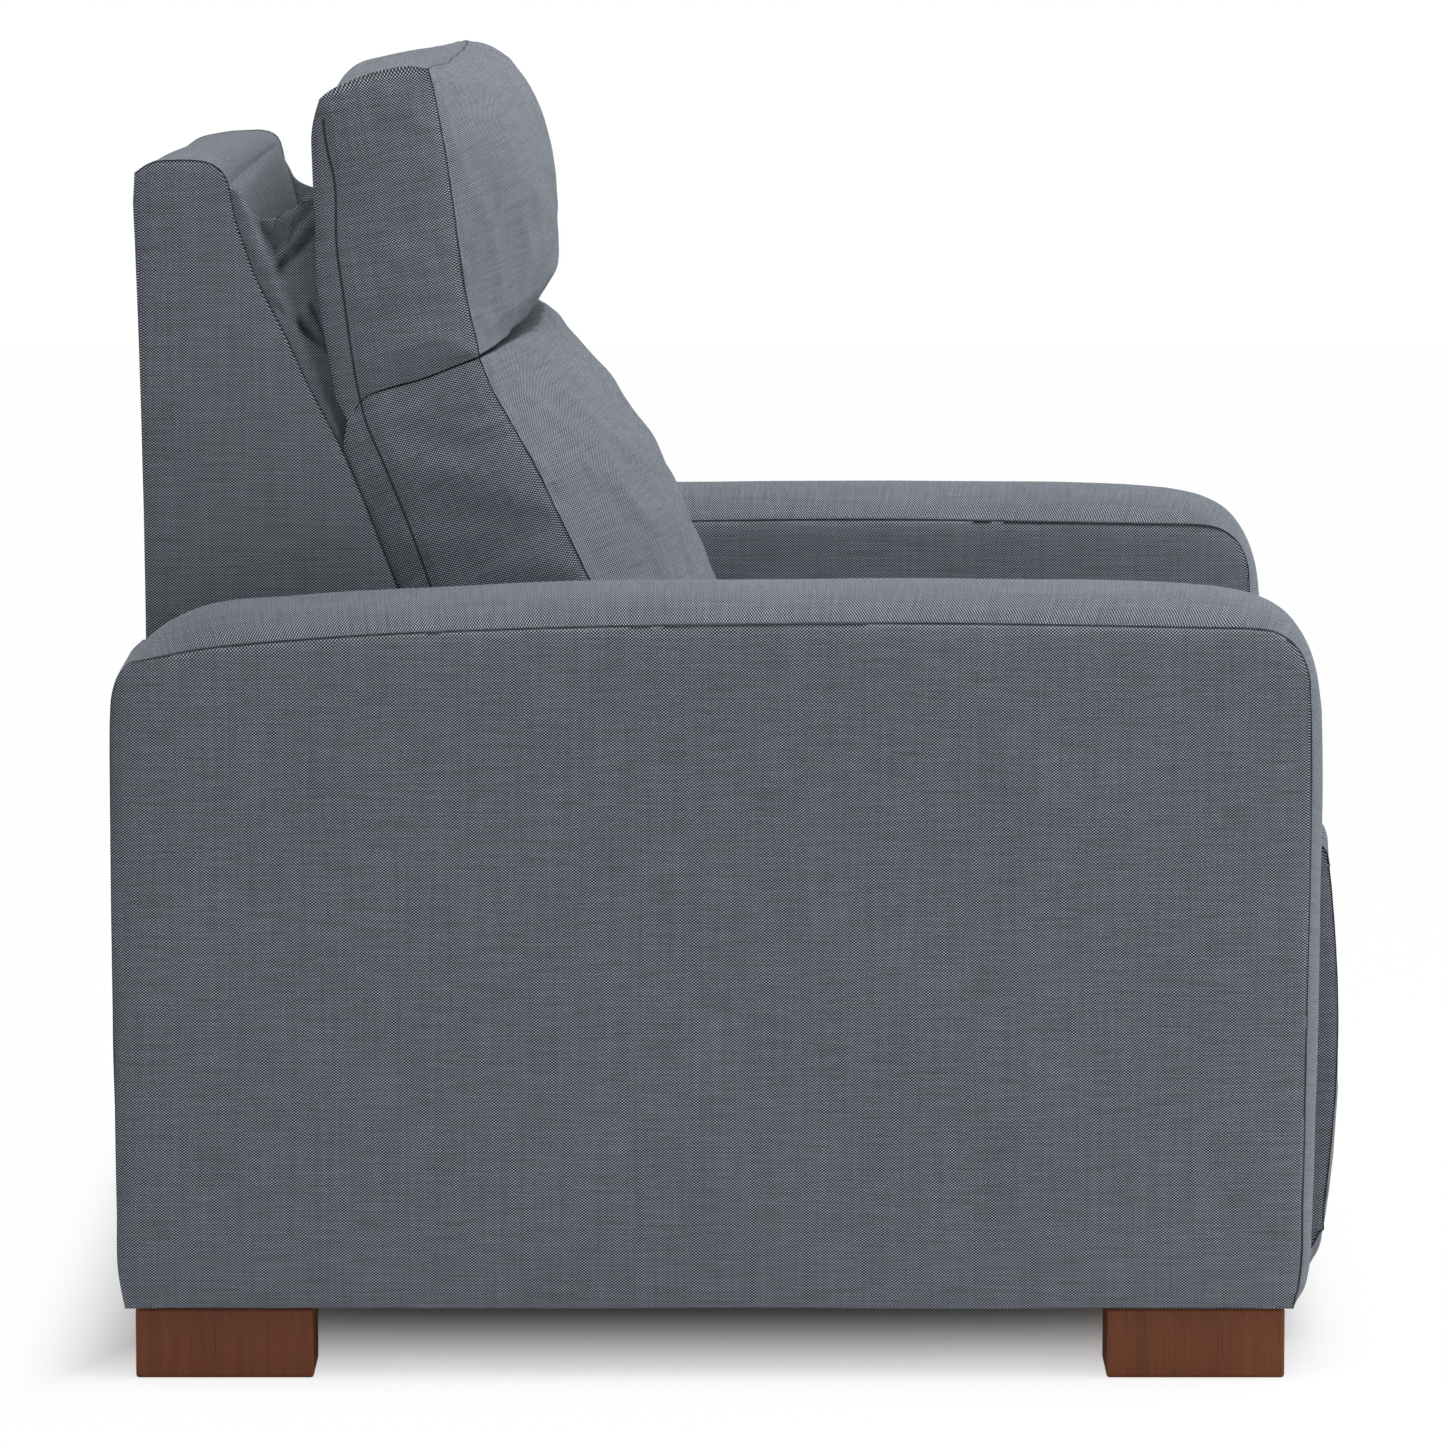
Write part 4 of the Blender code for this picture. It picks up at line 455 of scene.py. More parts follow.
def smoothed(values, edges, rounds):
    """Values at vertices, averaged with their neighbours a number of times."""
    count = np.bincount(edges.ravel(), minlength=len(values))[:, None]
    for _ in range(rounds):
        total = np.zeros_like(values)
        np.add.at(total, edges[:, 0], values[edges[:, 1]])
        np.add.at(total, edges[:, 1], values[edges[:, 0]])
        values = 0.4 * values + 0.6 * total / np.maximum(count, 1)
    return values


def settle(cover, held, slack, pressure):
    """Runs cloth that is a little too large over a stuffed cover, and keeps the wrinkles that form."""
    mesh = bpy.data.meshes.new("cloth")
    mesh.from_pydata([tuple(p) for p in cover.points], [], cover.faces)
    obj = put(bpy.data.objects.new("cloth", mesh))
    group = obj.vertex_groups.new(name="held")
    for weight in np.unique(held):
        if weight > 0:
            group.add([int(i) for i in np.flatnonzero(held == weight)], float(weight), "REPLACE")
    cloth = obj.modifiers.new("cloth", "CLOTH")
    settings = cloth.settings
    settings.quality = CLOTH_QUALITY
    settings.mass = CLOTH_MASS
    for kind, value in CLOTH_STIFFNESS.items():
        setattr(settings, kind + "_stiffness", value)
    settings.use_pressure = True
    settings.uniform_pressure_force = pressure
    settings.vertex_group_mass = "held"
    settings.shrink_min = -slack
    settings.effector_weights.gravity = 0.0
    cloth.collision_settings.use_collision = False
    scene = bpy.context.scene
    cloth.point_cache.frame_start = 1
    cloth.point_cache.frame_end = CLOTH_FRAMES
    for step in range(1, CLOTH_FRAMES + 1):
        scene.frame_set(step)
    evaluated = obj.evaluated_get(bpy.context.evaluated_depsgraph_get())
    moved = np.array([v.co for v in evaluated.data.vertices])
    scene.frame_set(1)
    bpy.data.objects.remove(obj)
    shift = moved - cover.points
    broad = smoothed(shift, cover.neighbours(), BROAD_ROUNDS)
    change = WRINKLE_SHARE * (shift - broad) + PUFF_SHARE * broad
    size = np.linalg.norm(change, axis=1)[:, None]
    cover.points += change * np.minimum(1.0, WRINKLE_LIMIT / np.maximum(size, 1e-9))


def pucker(cover, seams, size, wave, reach, seed):
    """Small gathers that run away from each seam and fade with distance."""
    for k, seam in enumerate(seams):
        away, along = nearest(cover.points, seam)
        near = away < 4 * reach
        slice_at = np.full(len(away), 3.1 * (seed + k))
        line = np.column_stack([along / wave + 0.3 * away / reach, away / (5 * wave), slice_at])
        bump = np.zeros(len(away))
        bump[near] = [noise.noise(Vector(p)) for p in line[near]]
        height = size * bump * np.exp(-away / reach) * (1 - np.exp(-away / 0.003))
        cover.points += cover.normals() * height[:, None]


def crease_in(cover, start, end, width, depth):
    """A long soft fold between two (y, z) points on the side panels. A depth under 0 makes a ridge."""
    a, b = np.array(start), np.array(end)
    reach = b - a
    at = cover.points[:, 1:] - a
    share = np.clip(at @ reach / (reach @ reach), 0, 1)
    away = np.linalg.norm(at - share[:, None] * reach, axis=1)
    fade = np.sin(math.pi * np.clip(share, 0.02, 0.98)) ** 0.6
    bite = depth * fade * np.exp(-((away / width) ** 2))
    x = cover.points[:, 0]
    on_panel = np.abs(np.abs(x) - cover.stations[-1]) < 0.012
    cover.points[:, 0] -= np.sign(x) * (bite * on_panel)


def undulate(cover, scale, height, seed, calm=None):
    """Soft waves as wide as scale, dying out near a line that the cover shares with a neighbour."""
    wave = height * ripple(cover.points, scale, seed)
    if calm is not None:
        wave *= 1.0 - np.exp(-((side_distance(cover.points, calm) / 0.018) ** 2))
    cover.points += cover.normals() * wave[:, None]


def side_distance(points, line):
    """Distance from a line as seen from the side."""
    fine = smooth_line(line, 90)
    return np.array([np.min(np.hypot(*(fine - p[1:]).T)) for p in points])


def lean_far_corner(cover):
    """The outer back's top sags evenly towards the sitter's left, and its front lip rolls forward there."""
    x, y, z = cover.points.T
    share = ramp(x, -0.24, BACK_HALF + 0.24)
    high = eased(ramp(z, 0.88, 0.07))
    rearward = ramp(y, 0.43, 0.06)
    lip = ramp(-y, -0.455, 0.03)
    inner = ramp(y, 0.424, 0.02)
    cover.points[:, 2] -= share * high * (0.0055 + 0.0040 * inner + 0.0085 * rearward)
    cover.points[:, 1] -= share * high * lip * 0.011


def sink_far_hem(points):
    """The loose cloth behind the headrest hangs lower towards the sitter's left."""
    x, y, z = points.T
    share = ramp(x, -0.1, GUSSET_HALF + 0.1)
    near_head = ramp(-y, -0.405, 0.05)
    high = ramp(z, 0.84, 0.09)
    points[:, 2] -= share * high * 0.032 * near_head


def slump(cover):
    """The headrest's top rear corner on the sitter's left sinks a little."""
    x, y, z = cover.points.T
    share = ramp(x, 0.0, BACK_HALF) ** 1.5
    high = ramp(z, 0.96, 0.06) * ramp(y, 0.22, 0.06)
    cover.points[:, 2] -= 0.016 * share * high


def put(obj):
    """Puts a new object in the scene."""
    bpy.context.scene.collection.objects.link(obj)
    return obj


def fix_shape(obj):
    """Turns what an object's modifiers make into its own mesh."""
    graph = bpy.context.evaluated_depsgraph_get()
    final = bpy.data.meshes.new_from_object(obj.evaluated_get(graph))
    obj.modifiers.clear()
    obj.data = final


def make_mesh(name, points, faces, cloth, marks, material):
    """A smooth-shaded object. cloth gives each corner its place on the flat cloth, in metres."""
    mesh = bpy.data.meshes.new(name)
    mesh.from_pydata([tuple(p) for p in points], [], [tuple(int(i) for i in f) for f in faces])
    layer = mesh.uv_layers.new(name="cloth")
    layer.uv.foreach_set("vector", np.asarray(cloth, np.float32).ravel())
    for key, values in marks.items():
        attribute = mesh.attributes.new(key, "FLOAT", "POINT")
        attribute.data.foreach_set("value", np.asarray(values, np.float32))
    mesh.polygons.foreach_set("use_smooth", [True] * len(mesh.polygons))
    obj = put(bpy.data.objects.new(name, mesh))
    rounder = obj.modifiers.new("rounder", "SUBSURF")
    rounder.levels = rounder.render_levels = 1
    fix_shape(obj)
    obj.data.name = name
    obj.data.materials.clear()
    obj.data.materials.append(material)
    return obj


def finish_cover(cover, body, node, material, seams, banded=False):
    """Turns a cover into an object that rides on a body and stands for a CAD node."""
    plain = np.full(len(cover.points), 1.0)
    marks = {"seam": plain, "band": band_distance(cover) if banded else plain}
    for seam in seams:
        marks["seam"] = np.minimum(marks["seam"], nearest(cover.points, seam)[0])
    obj = make_mesh(cover.name, cover.points, cover.faces, cover.cloth, marks, material)
    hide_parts(node)
    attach(obj, body)
    return obj


def band_distance(cover):
    """Signed distance from the band's stitched line, on the side panels alone."""
    line = smooth_line(BAND_LINE, 160)
    p = cover.points[:, 1:]
    step = np.diff(line, axis=0)
    best = np.full(len(p), 9.0)
    sign = np.ones(len(p))
    for a, d in zip(line[:-1], step):
        t = np.clip((p - a) @ d / (d @ d), 0, 1)
        away = p - a - t[:, None] * d
        size = np.linalg.norm(away, axis=1)
        closer = size < best
        best[closer] = size[closer]
        sign[closer] = np.sign(away[closer, 0] * d[1] - away[closer, 1] * d[0] + 1e-12)
    on_side = np.abs(np.abs(cover.points[:, 0]) - cover.stations[-1]) < 0.010
    below_top = p[:, 1] < BAND_TOP
    return np.where(on_side & below_top, best * sign, 1.0)


# Shader sums


class Wire:
    """A shader socket that adds and multiplies like a number."""

    def __init__(self, finish, socket):
        self.finish = finish
        self.socket = socket

    def math(self, operation, *others):
        return self.finish.sum_of(operation, self, *others)

    def __add__(self, other):
        return self.math("ADD", other)

    def __sub__(self, other):
        return self.math("SUBTRACT", other)

    def __rsub__(self, other):
        return self.finish.sum_of("SUBTRACT", other, self)

    def __mul__(self, other):
        return self.math("MULTIPLY", other)

    def __truediv__(self, other):
        return self.math("DIVIDE", other)

    def __pow__(self, other):
        return self.math("POWER", other)

    __radd__ = __add__
    __rmul__ = __mul__

    def clip(self, low=0.0, high=1.0):
        return self.math("MAXIMUM", low).math("MINIMUM", high)

    def wave(self):
        return self.math("SINE")

    def stripes(self, edge):
        """1 in the last part of each unit, from edge on, and 0 before it."""
        return self.math("FRACT").math("GREATER_THAN", edge)


class Finish:
    """Nodes under construction, for a material or for the world."""

    def __init__(self, name, world=False):
        owners = bpy.data.worlds if world else bpy.data.materials
        self.owner = owners.new(name)
        self.owner.use_nodes = True
        self.tree = self.owner.node_tree
        self.tree.nodes.clear()

    def node(self, kind, sockets=None, out=0, **settings):
        """Adds a node and returns one of its outputs, or the node itself if out is None."""
        made = self.tree.nodes.new(kind)
        for key, value in settings.items():
            setattr(made, key, value)
        for key, value in (sockets or {}).items():
            if isinstance(value, Wire):
                self.tree.links.new(value.socket, made.inputs[key])
            else:
                made.inputs[key].default_value = value
        return made if out is None else Wire(self, made.outputs[out])

    def sum_of(self, operation, *values):
        return self.node("ShaderNodeMath", dict(enumerate(values)), operation=operation)

    def blend(self, share, first, second, kind="MIX"):
        """A colour between two others, from the mix node's colour sockets."""
        colours = {6: first, 7: second, 0: share}
        return self.node("ShaderNodeMix", colours, out=2, data_type="RGBA", blend_type=kind)

    def split(self, vector):
        parts = self.node("ShaderNodeSeparateXYZ", {0: vector}, out=None)
        return [Wire(self, socket) for socket in parts.outputs]

    def join(self, x, y, z=0.0):
        return self.node("ShaderNodeCombineXYZ", {0: x, 1: y, 2: z})

    def place(self):
        """Coordinates on the object, in metres."""
        return self.split(self.node("ShaderNodeTexCoord", out="Object"))

    def cloud(self, at, scale=1.0, detail=2.0, rough=0.5):
        """Noise about 0.5 at a place in metres, with a scale in bumps a metre."""
        sockets = {"Vector": at, "Scale": scale, "Detail": detail, "Roughness": rough}
        return self.node("ShaderNodeTexNoise", sockets)

    def mark(self, name):
        """A value that make_mesh stored at the vertices."""
        return self.node("ShaderNodeAttribute", out="Fac", attribute_name=name)

    def surface(self, colour, rough, height, bump, distance, metal=0.0, fixed=None):
        """A finished material. height is a relief that strength bump shows distance metres deep."""
        lift = self.node("ShaderNodeBump", {"Height": height, "Strength": bump, "Distance": distance})
        sockets = {"Base Color": colour, "Roughness": rough, "Metallic": metal, "Normal": lift}
        self.output(self.node("ShaderNodeBsdfPrincipled", {**sockets, **(fixed or {})}))
        return self.owner

    def output(self, shader, kind="ShaderNodeOutputMaterial"):
        self.node(kind, {"Surface": shader}, out=None)


def rgb(code):
    """A colour for a socket, from its six-figure web code."""
    parts = [int(code[i : i + 2], 16) / 255 for i in (0, 2, 4)]
    return tuple(p / 12.92 if p <= 0.04045 else ((p + 0.055) / 1.055) ** 2.4 for p in parts) + (1.0,)


def tweed_finish():
    """Plain weave of pale and dark yarns, streaked with slubs along the weft, with painted shade between the
    threads.
    """
    f = Finish("slate_tweed")
    u, v, _ = f.split(f.node("ShaderNodeUVMap", uv_map="cloth"))
    across, down = u / WARP_PITCH, v / WEFT_PITCH
    warp, weft = across.math("FLOOR"), down.math("FLOOR")
    over = ((warp + weft) * 0.5).stripes(0.25)
    bead = (((across - warp) * math.pi).wave() * ((down - weft) * math.pi).wave()) ** 0.6

    warp_tone = f.cloud(f.join(warp * 0.37, v * 9.0, 1.0), rough=0.6)
    weft_tone = f.cloud(f.join(u * 14.0, weft * 0.53, 5.0), detail=3.0, rough=0.6)
    slub = f.cloud(f.join(u * 22.0, v * 520.0, 9.0), detail=3.0, rough=0.6)
    fleck = f.cloud(f.join(across * 0.8, down * 0.8, 2.0), detail=1.0)
    broad = f.cloud(f.join(u, v, 3.0), 7.0, detail=3.0)
    warm = f.cloud(f.join(u * 24.0, v * 150.0, 12.0))

    pale = f.blend(warp_tone, rgb("a1aab6"), rgb("c8d1df"))
    dark = f.blend(weft_tone, rgb("020306"), rgb("12171f"))
    colour = f.blend(over, dark, pale)
    colour = f.blend((warm - 0.56) * 1.8, colour, rgb("6a635b"))
    level = 0.37 + slub * 0.74 + (fleck - 0.5) * 0.30 + (broad - 0.5) * 0.12
    # Painted shade and light on each thread: the colour drops to about a quarter in the gaps between threads
    # and is brightest on the thread crowns.
    tone_and_thread_shade = level * (bead * 0.92 + 0.24)
    colour = f.blend(1.0, colour, f.join(tone_and_thread_shade, tone_and_thread_shade, tone_and_thread_shade), "MULTIPLY")

    stitches = f.mark("seam").math("ABSOLUTE").math("MINIMUM", f.mark("band").math("ABSOLUTE"))
    off_line = (stitches + (fleck - 0.5) * 0.0004 - STITCH_HALF) * STITCH_SHARPNESS
    colour = f.blend((1.0 - off_line.clip()) * 0.85, colour, rgb("14171c"))
    height = bead * 0.5 + slub * 0.25 + level * 0.25
    sheen = {"Sheen Weight": 0.25, "Sheen Roughness": 0.45, "Sheen Tint": rgb("c8ced6")}
    fixed = {**sheen, "Specular IOR Level": 0.22}
    return f.surface(colour, 0.86 - fleck * 0.1, height, bump=0.55, distance=0.0009, fixed=fixed)


def walnut_finish():
    """Stained hardwood with fine upright grain, a little darker in its pores."""
    f = Finish("walnut_block")
    x, y, z = f.place()
    grain = f.cloud(f.join(x * 70.0, y * 70.0, z * 3.2), detail=4.0, rough=0.65)
    pores = f.cloud(f.join(x * 900.0, y * 900.0, z * 22.0), rough=0.6)
    figure = f.cloud(f.join(x * 14.0, y * 14.0, z * 1.6), detail=3.0, rough=0.55)
    colour = f.blend(grain, rgb("49200d"), rgb("854822"))
    colour = f.blend(figure * 0.5, colour, rgb("622e12"))
    colour = f.blend(((0.42 - pores) * 5.0).clip(high=0.6), colour, rgb("38200f"))
    fixed = {"Specular IOR Level": 0.28, "Coat Weight": 0.06, "Coat Roughness": 0.35}
    height = pores * 0.6 + grain * 0.4
    return f.surface(colour, 0.42 + grain * 0.15, height, bump=0.25, distance=0.0004, fixed=fixed)


def plywood_finish():
    """Birch ply: pale faces with faint cathedral grain."""
    f = Finish("birch_ply")
    x, y, z = f.place()
    grain = f.cloud(f.join(x * 60.0, y * 5.0, z * 60.0), detail=4.0, rough=0.6)
    plies = (z * 1800.0).wave() * 0.5 + 0.5
    colour = f.blend(grain, rgb("b89468"), rgb("dcc39a"))
    colour = f.blend(plies * 0.18, colour, rgb("8f6f49"))
    return f.surface(colour, 0.7 + grain * 0.15, grain, bump=0.2, distance=0.0005)


def metal_finish(name, light, dark, rough, metal, speckle):
    """Plated or painted steel, clouded between two tones, with speckle as fine grain a metre."""
    f = Finish(name)
    at = f.join(*f.place())
    cast = f.cloud(at, 40.0, detail=4.0, rough=0.6)
    fine = f.cloud(at, speckle, rough=0.6)
    colour = f.blend(cast, rgb(dark), rgb(light))
    return f.surface(colour, rough + (fine - 0.5) * 0.2, fine, bump=0.18, distance=0.0003, metal=metal)


def plastic_finish():
    """Black moulded plastic with a fine spark-eroded grain."""
    f = Finish("black_mould")
    at = f.join(*f.place())
    grain = f.cloud(at, 2600.0, rough=0.7)
    colour = f.blend(f.cloud(at, 30.0, detail=3.0), rgb("17181a"), rgb("232427"))
    return f.surface(colour, 0.48 + grain * 0.16, grain, bump=0.25, distance=0.0002)


def webbing_finish():
    """Charcoal elastic webbing, woven in ribs."""
    f = Finish("elastic_webbing")
    x, y, z = f.place()
    ribs = ((x * 1600.0).wave() * 0.5 + 0.5) * 0.6 + ((y + z) * 1100.0).wave() * 0.2
    colour = f.blend(ribs, rgb("2c2a27"), rgb("4a4742"))
    colour = f.blend((x * 16.0).stripes(0.82) * 0.8, colour, rgb("191817"))
    return f.surface(colour, 0.85 + ribs * 0.05, ribs, bump=0.4, distance=0.0008)


# The recliner's soft pieces


def pillow(name, edge, middle, steps, power, pad, across=78, grade=0.45, half=BACK_HALF):
    """A cover with equal sides. steps says how many points it has up and down, and how many across."""
    rings = [[smooth_line(line, steps[k % 2], grade) for k, line in enumerate(ring)] for ring in (edge, middle)]
    return Cover(name, *rings, -half, half, across, power, pad)


def join_lines(first, second, split, count):
    """One section of the outline made of two smooth stretches that meet at a soft corner."""
    return np.concatenate([smooth_line(first, split)[:-1], smooth_line(second, count - split)])


def arm_sides():
    """The arm's outline at its seams, and half way between them, lifted by padding on top and in front."""
    rear = join_lines(ARM_REAR_EDGE, ARM_REAR_CORNER, 50, ARM_UPRIGHT)
    top = join_lines(ARM_TOP_EDGE, ARM_CORNER, 83, ARM_LEVEL)
    front = smooth_line(ARM_FRONT_EDGE, ARM_UPRIGHT, 0.3)
    foot = smooth_line(ARM_FOOT, ARM_LEVEL, 0.3)
    top_middle = join_lines(ARM_TOP_MIDDLE, ARM_CORNER_MIDDLE, 80, ARM_LEVEL)
    front_middle = smooth_line(ARM_FRONT_MIDDLE, ARM_UPRIGHT, 0.3)
    return [rear, top, front, foot], [rear, top_middle, front_middle, foot]


def make_arm(side_name, side, cloth):
    """A padded arm, with a crowned top and front between two seams."""
    edge, middle = arm_sides()
    low, high = sorted((side * ARM_INNER, side * ARM_OUTER))
    name = "arm_upholstery_" + side_name
    cover = Cover(name, edge, middle, low, high, across=26, power=2.8, pad=ARM_PAD)
    flatten_inner(cover, side)
    seams = cover.seams(TOP, FRONT)
    cover.press_edges(SEAM_DEPTH, TOP, FRONT)
    cover.press_edges(EDGE_ROUND, FOOT)
    cover.press_edges(EDGE_ROUND, REAR)
    undulate(cover, scale=(0.2, 0.16, 0.12), height=0.0011, seed=3 + side)
    undulate(cover, scale=(0.05, 0.05, 0.04), height=0.00022, seed=7 + side)
    pucker(cover, seams, size=0.0007, wave=0.020, reach=0.014, seed=2 + side)
    keep_clear_of_panel(cover, side)
    soft = cover.seams(TOP, FRONT)
    return finish_cover(cover, "base", "arm_cover_" + side_name, cloth, soft)


def flatten_inner(cover, side):
    """The inner side has less wadding, so that it clears the seat."""
    x = cover.points[:, 0] * side
    inner = x < ARM_INNER
    cover.points[inner, 0] = side * (ARM_INNER - INNER_WADDING * (ARM_INNER - x[inner]))


def keep_clear_of_panel(cover, side):
    """Presses the cover flat round the button panel on the sitter's right."""
    if side > 0:
        return
    x, y, z = cover.points.T
    past_end = np.maximum(np.abs(y - PANEL_MIDDLE[0]) - PANEL_HALF[0], 0)
    past_edge = np.maximum(np.abs(z - PANEL_MIDDLE[1]) - PANEL_HALF[1], 0)
    gap = np.hypot(past_end, past_edge)
    near = (np.abs(x + ARM_INNER) < 0.006) & (gap < PANEL_MARGIN)
    share = ramp(gap[near], 0.0, PANEL_MARGIN) ** 2
    cover.points[near, 0] = -ARM_INNER - PANEL_CLEARANCE + (x[near] + ARM_INNER + PANEL_CLEARANCE) * share


def make_outer_back(cloth):
    """The upright shell behind the cushions."""
    steps = (76, 22)
    cover = pillow("outer_back_cover", OUTER_EDGE, OUTER_MIDDLE, steps, power=7.0, pad=0.0025, across=72)
    seams = cover.seams(TOP, FRONT)
    cover.press_edges(0.0016, TOP, FRONT)
    cover.press_edges(0.003, FOOT)
    cover.press_edges(0.003, REAR)
    undulate(cover, scale=(0.16, 0.1, 0.16), height=0.0014, seed=31)
    undulate(cover, scale=(0.05, 0.04, 0.04), height=0.0003, seed=33)
    lean_far_corner(cover)
    pucker(cover, seams, size=0.0012, wave=0.018, reach=0.012, seed=35)
    soft = cover.seams(TOP, FRONT)
    return finish_cover(cover, "back", "outer_back", cloth, soft)


def make_headrest(cloth):
    """The head cushion, with a stitched line across its top as well."""
    cover = pillow("headrest_pillow", HEAD_EDGE, HEAD_MIDDLE, steps=(48, 22), power=2.6, pad=0.007)
    cover.turn_cloth(0.16)
    held = cover.hold(TOP, FRONT, FOOT)
    held[cover.points[:, 1] > 0.330] = 1.0
    held[cover.points[:, 2] < 0.812] = 1.0
    settle(cover, held, slack=0.018, pressure=2.0)
    cover.press_edges(SEAM_DEPTH, FRONT)
    cover.press_edges(0.0045, TOP)
    cover.press_edges(0.0028, REAR, ease=9)
    over = cover.across_top()
    cover.press_in(over, 0.0012)
    undulate(cover, scale=(0.11, 0.09, 0.1), height=0.0016, seed=41, calm=HEAD_MIDDLE[FOOT])
    undulate(cover, scale=SLACK_WAVES, height=0.0003, seed=43, calm=HEAD_MIDDLE[FOOT])
    slump(cover)
    for fold in HEAD_FOLDS:
        crease_in(cover, *fold)
    pucker(cover, cover.seams(FRONT), size=0.0022, wave=0.022, reach=0.016, seed=45)
    sink_band(cover)
    seams = [*cover.seams(FRONT), cover.points[over]]
    return finish_cover(cover, "headrest", "headrest_cushion", cloth, seams, banded=True)


def sink_band(cover):
    """The strip behind the stitched line lies a little lower than the panel in front of it."""
    away = band_distance(cover)
    near = np.abs(away) < 0.5
    groove = BAND_SINK * np.exp(-((away / 0.0032) ** 2))
    sunk = BAND_SINK / (1 + np.exp(np.clip(away / 0.004, -30, 30)))
    x = cover.points[:, 0]
    cover.points[:, 0] = np.where(near, x - np.sign(x) * (groove + sunk), x)


def make_lumbar(cloth):
    """The back cushion below the head cushion."""
    cover = pillow("lumbar_pillow", LUMBAR_EDGE, LUMBAR_MIDDLE, steps=(56, 24), power=2.9, pad=0.006)
    cover.turn_cloth(0.42)
    held = cover.hold(TOP, FRONT, FOOT)
    _, y, z = cover.points.T
    held[(z < 0.495) | (y > 0.290 + BACK_LEAN * (z - 0.65) - 0.01)] = 1.0
    held[(z > 0.79) & (y > 0.215)] = 1.0
    settle(cover, held, slack=0.018, pressure=2.0)
    cover.press_edges(SEAM_DEPTH, FRONT)
    cover.press_edges(0.0028, REAR, ease=9)
    undulate(cover, scale=(0.12, 0.1, 0.1), height=0.0016, seed=51, calm=LUMBAR_MIDDLE[TOP])
    undulate(cover, scale=SLACK_WAVES, height=0.0003, seed=53, calm=LUMBAR_MIDDLE[TOP])
    for fold in LUMBAR_FOLDS:
        crease_in(cover, *fold)
    pucker(cover, cover.seams(FRONT), size=0.0022, wave=0.024, reach=0.018, seed=55)
    sink_band(cover)
    seams = cover.seams(FRONT)
    return finish_cover(cover, "back", "lumbar_cushion", cloth, seams, banded=True)


def round_corners(cover, axis, end, radius):
    """Rounds the two corners where a cushion's sides meet its edge at end, measured along axis."""
    over = np.clip(np.abs(cover.points[:, 0]) - (SEAT_HALF - radius), 0, radius)
    pulled = radius - np.sqrt(radius**2 - over**2)
    middle = np.median(cover.points[:, axis])
    inward = 1.0 if middle > end else -1.0
    depth = (cover.points[:, axis] - end) * inward
    cover.points[:, axis] += inward * pulled * np.clip(2.4 - depth / radius, 0, 1)


def make_seat(cloth):
    """The seat cushion, whose nose hangs over the footrest."""
    rear = [(0.143, 0.366), (0.1445, 0.372), (0.1445, 0.42), (0.143, 0.462)]
    under = [(-0.44, 0.456), (-0.4225, 0.45), (-0.4195, 0.42)]
    foot = [(-0.4195, 0.366), (-0.2, 0.366)]
    top = [(0.139, 0.474), (0.06, 0.4755), (-0.06, 0.477), (-0.24, 0.477), (-0.4, 0.476), (-0.455, 0.473)]
    front = [(-0.466, 0.468), (-0.4685, 0.463), (-0.466, 0.458), *under]
    top_mid = [
        (0.141, 0.479), (0.06, 0.488), (-0.06, 0.495), (-0.24, 0.4965), (-0.4, 0.4955), (-0.448, 0.491),
    ]
    front_mid = [(-0.47, 0.481), (SEAT_NOSE, 0.468), (-0.473, 0.458), *under]
    edge, middle = chained(rear, top, front, foot), chained(rear, top_mid, front_mid, foot)
    cover = pillow("seat_pillow", edge, middle, (22, 74), power=3.2, pad=0.0015, grade=0.3, half=SEAT_HALF)
    held = cover.hold(REAR, TOP, FRONT, FOOT)
    x, _, z = cover.points.T
    held[(z < 0.46) | (np.abs(x) > SEAT_HALF - 0.001)] = 1.0
    settle(cover, held, slack=0.016, pressure=1.6)
    round_corners(cover, axis=1, end=SEAT_NOSE, radius=SEAT_NOSE_RADIUS)
    cover.press_edges(SEAM_DEPTH, TOP)
    cover.press_edges(0.002, REAR)
    undulate(cover, scale=(0.13, 0.13, 0.13), height=0.0022, seed=61)
    undulate(cover, scale=SLACK_WAVES, height=0.0004, seed=63)
    seams = cover.seams(TOP)
    pucker(cover, seams, size=0.0018, wave=0.024, reach=0.018, seed=65)
    return finish_cover(cover, "carriage", "seat_cushion", cloth, seams)


